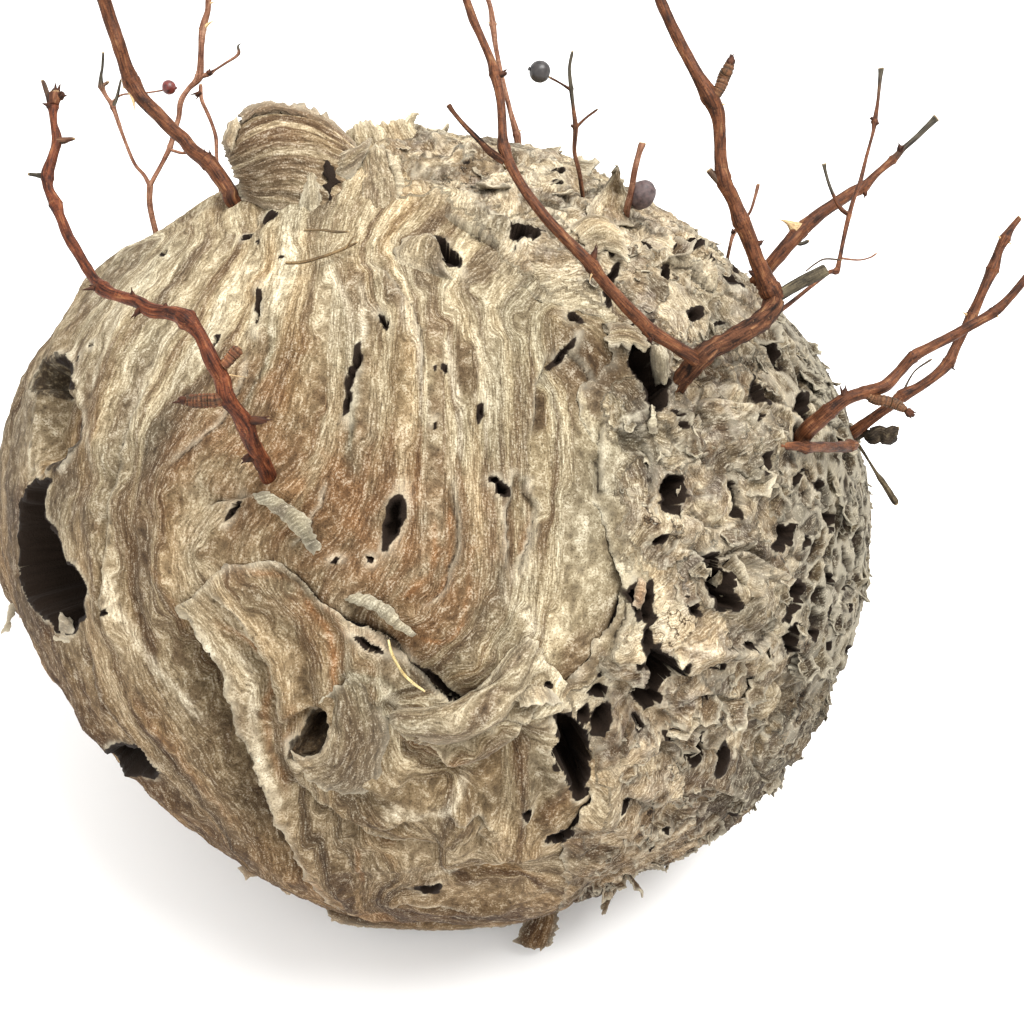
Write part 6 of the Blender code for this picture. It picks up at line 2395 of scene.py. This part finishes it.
# A curved thorn with a broad foot
def addThorn(wood, curve, foot, tip, width):
    depth, k = depthAt(curve, *foot)
    start, end = inPhoto(*foot, depth), inPhoto(*tip, depth - 1.5)
    wide = toMm(width, depth)
    along = curve[min(k + 1, len(curve) - 1), :3] - curve[max(k - 1, 0), :3]
    along /= np.linalg.norm(along)
    rows = []
    for t in np.linspace(0, 1, 9):
        middle = start + (end - start) * t + along * 0.12 * wide * sin(pi * t)
        rows.append([*middle, wide * ((1 - t) ** 1.7 * 0.75 + 0.25 * (1 - t) ** 5) + 0.06])
    rows = np.array(rows)
    radii = np.repeat(rows[:, 3:] / 2, 10, 1)
    parts = partRow(len(rows), thorn=1.0)
    parts[-3:, 3] = 0.7
    wood.tube(rows, np.linspace(0, 1, 9) * np.linalg.norm(end - start), radii, 10, parts, cutEnd=False)


# A bud of a few scales
def addBud(wood, curve, foot, tip, width, seed):
    depth, k = depthAt(curve, *foot)
    wide = toMm(width, depth)
    start, end = inPhoto(*foot, depth - 0.3 * wide), inPhoto(*tip, depth - 0.5 * wide)
    length = np.linalg.norm(end - start)
    random = np.random.default_rng(seed)
    ts = np.linspace(0, 1, 12)
    rows = []
    for t in ts:
        plump = 0.35 + 0.65 * sin(pi * (0.12 + 0.88 * t) ** 0.8) ** 0.8
        rows.append([*(start + (end - start) * t), wide * plump])
    rows = np.array(rows)
    angles = np.arange(12) * pi / 6
    ridges = 0.1 * np.sin(3 * angles + 6 * ts[:, None])
    radii = rows[:, 3:] / 2 * (1 + ridges + 0.08 * (ts[:, None] * 4 % 1))
    wood.tube(rows, ts * length, radii, 12, partRow(12, bud=1.0), cutEnd=False)
    for turn in range(3):
        aside = random.normal(0, 0.22, 3) * wide
        scale = np.array([[*(start + (end - start) * (0.45 + 0.7 * t) + aside * (0.5 + t)),
                           wide * 0.5 * (1 - t) ** 0.8 + 0.05] for t in np.linspace(0, 1, 6)])
        wood.tube(scale, np.linspace(0, 1, 6) * length, np.repeat(scale[:, 3:] / 2, 8, 1), 8,
                  partRow(6, bud=1.0, dead=0.25), cutEnd=False)


# Bark on a curve: knots with ring scars, fine unevenness, and the end
def addStem(wood, name, rows, sides, ending, rough, ringed=False, dead=0.0, knots=(), deadFrom=None):
    step = (0.28 if ringed else 0.55) / fineness
    curve, places = evenly(rows, step)
    radius = curve[:, 3] / 2
    for x, y, swell, reach in knots:
        depth, k = depthAt(curve, x, y)
        gap = places - places[k]
        radius = radius * (1 + swell * np.exp(-(gap / reach) ** 2)
                           - 0.10 * np.exp(-((gap - 0.5 * reach) / 0.22) ** 2)
                           - 0.08 * np.exp(-((gap + 0.7 * reach) / 0.22) ** 2))
    if ringed:
        wave = np.abs(np.sin(pi * places / 0.85 + 0.7 * np.sin(places * 1.7)))
        radius = radius * (0.82 + 0.26 * wave ** 0.6)
    angles = 2 * pi * np.arange(sides) / sides
    around = np.stack([np.cos(angles), np.sin(angles)], 1)
    spots = np.stack([np.repeat(around[None, :, 0], len(places), 0) * radius[:, None],
                      np.repeat(around[None, :, 1], len(places), 0) * radius[:, None],
                      np.repeat(places[:, None], sides, 1)], 2).reshape(-1, 3)
    seedShift = np.array([sum(map(ord, name)) % 31, 0, 0])
    uneven = (fine.at(spots * (1.3, 1.3, 0.35) + seedShift, 1.0, 2)
              + 0.8 * coarse.at(spots * (0.6, 0.6, 0.5) + seedShift, 1.6)).reshape(len(places), sides)
    radii = radius[:, None] * (1 + rough * uneven)
    parts = partRow(len(places), dead=dead)
    if ringed:
        parts[:, 2] = 0.1 * wave ** 2
        parts[:, 3] = 0.85 * (1 - wave) ** 2
    if deadFrom:
        parts[:, 3] = smooth(deadFrom - 0.04, deadFrom + 0.06, places / places[-1])
    if ending == "broken":
        jag = smooth(places[-1] - 0.8, places[-1], places)[:, None]
        radii = radii * (1 - 0.35 * jag + 0.3 * jag * np.cos(2 * angles + 1.3))
        parts[-1:, 2] = 0.7
    elif ending == "pointed":
        radii = radii * (1 - 0.9 * smooth(places[-1] - 2.5, places[-1], places)[:, None])
    elif ending == "cut":
        radii[-1] *= 0.93
    wood.tube(curve, places, radii, sides, parts, cutEnd=ending in ("cut", "broken"))
    return curve


# Points in space and widths in mm of a route in pixels with depths
def inSpace(route):
    return [[*inPhoto(x, y, depth), toMm(width, depth)] for x, y, depth, width in route]


# finishes of the twigs: colours of the bark, light and dark, and of its spots; grain in mm
barks = {
    "reddish_bark": {
        "label": "dry knobby shrub bark, reddish",
        "light": "66351E", "dark": "260F07", "spot": "8E5E3C", "grain": 0.5, "rough": 0.6, "bump": 0.8,
    },
    "brown_bark": {
        "label": "dry smooth shrub bark, reddish brown",
        "light": "643B23", "dark": "281409", "spot": "84603F", "grain": 0.45, "rough": 0.58, "bump": 0.6,
    },
    "pale_bark": {
        "label": "thin young bark, pale brown",
        "light": "87604A", "dark": "532F1F", "spot": "A08068", "grain": 0.4, "rough": 0.65, "bump": 0.3,
    },
    "dark_bark": {
        "label": "old peeling bark, dark brown",
        "light": "5A3824", "dark": "190D07", "spot": "8E6A48", "grain": 0.9, "rough": 0.8, "bump": 1.0,
    },
    "olive_bark": {
        "label": "weathered bark, olive grey",
        "light": "544B3A", "dark": "1E1A14", "spot": "7A7258", "grain": 0.6, "rough": 0.75, "bump": 0.7,
    },
    "dry_leaf": {
        "label": "dry leaf stalk, grey brown",
        "light": "5C503C", "dark": "1E1912", "spot": "7C7154", "grain": 0.7, "rough": 0.85, "bump": 0.8,
    },
    "leaf_blade": {
        "label": "shrivelled dry leaf, dark brown",
        "light": "40362A", "dark": "140F0B", "spot": "6A6048", "grain": 0.7, "rough": 0.85, "bump": 1.0,
    },
    "tan_stick": {
        "label": "bare dry stick, olive tan",
        "light": "7A6444", "dark": "3E3020", "spot": "A08C64", "grain": 0.5, "rough": 0.7, "bump": 0.4,
    },
    "straw": {
        "label": "dry yellow straw",
        "light": "C8B684", "dark": "97804E", "spot": "DCD0A6", "grain": 0.4, "rough": 0.45, "bump": 0.2,
    },
}


# Bark of dry shrub wood: thin skin with fine lengthwise grain, so that it looks silky along the twig;
# bare wood shows pale where it was cut or broken
def barkMaterial(look):
    material, shader = newMaterial(look["label"], look["rough"])
    tree = material.node_tree
    bark = addNode(tree, "ShaderNodeAttribute", {"attribute_name": "bark"}).outputs["Vector"]
    attribute = addNode(tree, "ShaderNodeAttribute", {"attribute_name": "parts"})
    parts = addNode(tree, "ShaderNodeSeparateColor", links={"Color": attribute.outputs["Color"]})

    def grain(size, stretch, detail=2.0):
        scaled = addNode(tree, "ShaderNodeMapping",
                         inputs={"Scale": (1 / size, 1 / size, 1 / (size * stretch))},
                         links={"Vector": bark}).outputs[0]
        return addNode(tree, "ShaderNodeTexNoise",
                       inputs={"Scale": 1.0, "Detail": detail, "Roughness": 0.6},
                       links={"Vector": scaled}).outputs["Fac"]

    lengthwise = grain(look["grain"], 9.0, 3.0)
    patches = grain(2.2, 3.0)
    dots = grain(0.5, 1.4, 1.0)
    mixed = calc(tree, 'MULTIPLY_ADD', patches, 0.9, calc(tree, 'MULTIPLY_ADD', lengthwise, 0.7, -0.3))
    colour = ramp(tree, mixed, ((0.3, look["dark"]), (0.6, look["light"]), (0.8, look["spot"])))
    streaky = ramp(tree, grain(look["grain"] * 0.8, 16.0, 2.0), ((0.38, "5A4A42"), (0.5, "FFFFFF")))
    colour = blend(tree, 'MULTIPLY', 0.5, colour, streaky)
    spotted = ramp(tree, dots, ((0.66, "000000"), (0.74, "9A9A9A")))
    colour = blend(tree, 'MIX', spotted, colour, linear(look["spot"]))
    rings = ramp(tree, grain(1.6, 0.16, 1.0), ((0.3, "7A6A62"), (0.44, "FFFFFF")))
    colour = blend(tree, 'MULTIPLY', 0.6, colour, rings)
    dead = ramp(tree, lengthwise, ((0.35, "1A1611"), (0.65, "4A4336")))
    colour = blend(tree, 'MIX', attribute.outputs["Alpha"], colour, dead)
    thorn = ramp(tree, lengthwise, ((0.3, "8A6E4E"), (0.6, "C2A77C")))
    colour = blend(tree, 'MIX', parts.outputs["Red"], colour, thorn)
    bud = ramp(tree, patches, ((0.35, "1E110C"), (0.65, "4C2B19")))
    colour = blend(tree, 'MIX', parts.outputs["Green"], colour, bud)
    wood = ramp(tree, dots, ((0.35, "8E7350"), (0.65, "C9B083")))
    colour = blend(tree, 'MIX', parts.outputs["Blue"], colour, wood)
    height = calc(tree, 'ADD', lengthwise, calc(tree, 'MULTIPLY', dots, 0.6))
    dress(tree, shader, colour, height, look["bump"], 0.3)
    shader.inputs["Specular IOR Level"].default_value = 0.16
    return material


barkFinishes = {name: barkMaterial(look) for name, look in barks.items()}
curves = {}


# A twig with all that stands on it. The two spurs of the gnarled twig are shoots on its curve
def buildTwig(name, twig):
    wood = Wood()
    if "route" in twig:
        curve = addStem(wood, name, inSpace(twig["route"]), twig.get("sides", 14), twig["end"],
                        twig.get("uneven", 0.045), twig.get("ringed", False), 0.0, twig.get("knots", ()),
                        twig.get("deadFrom"))
        curves[name] = curve
    else:
        curve = curves["gnarled_twig"]
    for route, ringed, dead in twig.get("shoots", ()):
        depth, k = depthAt(curve, route[0][0], route[0][1])
        rows = inSpace([(x, y, depth - 0.25 * toMm(route[0][2], depth), width) for x, y, width in route])
        addStem(wood, name, rows, 18 if ringed else 12, "broken", 0.07, ringed, dead)
    for foot, tip, width in twig.get("thorns", ()):
        addThorn(wood, curve, foot, tip, width)
    for n, (foot, tip, width) in enumerate(twig.get("buds", ())):
        addBud(wood, curve, foot, tip, width, 7 * n + len(name))
    if twig["end"] == "bud":
        end = onPicture(curve[-1:, :3])[0]
        before = onPicture(curve[-6:-5, :3])[0]
        aim = (end - before) / np.linalg.norm(end - before)
        for n, (aside, ahead) in enumerate(((-2.6, 4.0), (0.0, 6.5), (2.8, 4.0))):
            tip = end + aim * ahead + np.array((-aim[1], aim[0])) * aside
            addBud(wood, curve, tuple(end - aim * 3), tuple(tip), 6.5, n)
    finish = barkFinishes[twig.get("finish", twig["bark"])]
    addPiece(name + "_wood", wood.mesh(name + "_wood", finish), name)


for name, twig in twigs.items():
    buildTwig(name, twig)
print("stage: twigs")

# berries: the skin's colours, light and dark; the bloom and its share; where the stalk comes from;
# how much larger and longer than the CAD's ball, and moved how many mm right and up in the photo
berries = {
    "red_berry": {
        "label": "dried red berry skin",
        "light": "6A2018", "dark": "2A0A08", "bloom": "7A4A40", "bloomShare": 0.15,
        "rough": 0.38, "wrinkle": 0.07, "stalk": (-1.0, 0.0, 0.1),
    },
    "black_berry": {
        "label": "dried black berry skin",
        "light": "2A2422", "dark": "0C0A0A", "bloom": "4A4644", "bloomShare": 0.3,
        "rough": 0.42, "wrinkle": 0.05, "stalk": (1.0, 0.0, -0.3),
    },
    "grey_berry": {
        "label": "berry skin with grey bloom",
        "light": "564240", "dark": "2A1E1E", "bloom": "6E6260", "bloomShare": 0.4,
        "rough": 0.6, "wrinkle": 0.06, "stalk": (-0.5, 0.2, -1.0),
        "grown": 1.14, "stretch": 1.25, "moved": (-1.6, 1.2),
    },
}


# Berry skin: shrivelled, with a waxy bloom that dulls it in patches
def berryMaterial(look):
    material, shader = newMaterial(look["label"], look["rough"])
    tree = material.node_tree
    place = tree.nodes.new("ShaderNodeTexCoord").outputs["Object"]

    def blotches(scale, detail):
        return addNode(tree, "ShaderNodeTexNoise", inputs={"Scale": scale, "Detail": detail},
                       links={"Vector": place}).outputs["Fac"]

    spots = blotches(900.0, 4.0)
    colour = ramp(tree, spots, ((0.35, look["dark"]), (0.65, look["light"])))
    waxy = calc(tree, 'MULTIPLY_ADD', blotches(420.0, 3.0), 4.0, -1.6, clamp=True)
    share = calc(tree, 'MULTIPLY', waxy, look["bloomShare"])
    colour = blend(tree, 'MIX', share, colour, linear(look["bloom"]))
    dress(tree, shader, colour, spots, 0.4, 0.2)
    return material


# A shrivelled ball with a dimple at its stalk and the dry rest of the flower opposite
def buildBerry(name):
    look = berries[name]
    low, high = [np.array(corner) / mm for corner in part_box(name)]
    right, up = look.get("moved", (0.0, 0.0))
    middle = (low + high) / 2 + right * pictureRight + up * pictureUp
    size = (high - low).max() / 2 * look.get("grown", 1.0)
    axis = -Vector(look["stalk"]).normalized()
    turn = np.array(axis.to_track_quat('Z', 'Y').to_matrix())
    rings, sides = int(28 * fineness), int(36 * fineness)
    theta = np.linspace(0, pi, rings + 1)[1:-1]
    phi = 2 * pi * np.arange(sides) / sides
    t, p = np.meshgrid(theta, phi, indexing='ij')
    spots = np.stack([np.sin(t) * np.cos(p), np.sin(t) * np.sin(p), np.cos(t)], 2).reshape(-1, 3)
    spots = np.vstack([spots, (0, 0, 1), (0, 0, -1)])
    folds = 1 - np.abs(fine.at(spots * size * (1, 1, 0.5), 1.7, 2))
    stalkDimple = 0.12 * np.exp(-((1 + spots[:, 2]) / 0.05))
    flowerDimple = 0.05 * np.exp(-((1 - spots[:, 2]) / 0.03))
    reach = size * (0.97 + look["wrinkle"] * (folds - 0.8) - stalkDimple - flowerDimple)
    vertices = spots * reach[:, None] * (1, 1, look.get("stretch", 1.0))
    faces = []
    for i in range(rings - 2):
        for k in range(sides):
            n = (k + 1) % sides
            faces.append((i * sides + k, (i + 1) * sides + k, (i + 1) * sides + n, i * sides + n))
    top, foot, last = len(spots) - 2, len(spots) - 1, (rings - 2) * sides
    for k in range(sides):
        n = (k + 1) % sides
        faces.append((top, k, n))
        faces.append((foot, last + n, last + k))
    wood = Wood()
    for k in range(5):
        angle = 2 * pi * k / 5
        out = np.array((cos(angle), sin(angle), 0.0))
        rows = np.array([[*(out * size * (0.04 + 0.22 * s) + (0, 0, size * (0.92 + 0.16 * sin(2.2 * s)))),
                          size * (0.16 * (1 - s) + 0.03)] for s in np.linspace(0, 1, 5)])
        wood.tube(rows, np.linspace(0, 1, 5), np.repeat(rows[:, 3:] / 2, 7, 1), 7, partRow(5), cutEnd=False)
    faces += [[len(vertices) + i for i in face] for face in wood.faces]
    vertices = np.vstack([vertices, *wood.vertices]) @ turn.T + middle
    mesh = bpy.data.meshes.new(name + "_skin")
    mesh.from_pydata(vertices * mm, [], faces)
    mesh.shade_smooth()
    mesh.materials.append(berryMaterial(look))
    addPiece(name + "_skin", mesh, name)


for name in berries:
    buildBerry(name)
print("stage: berries")
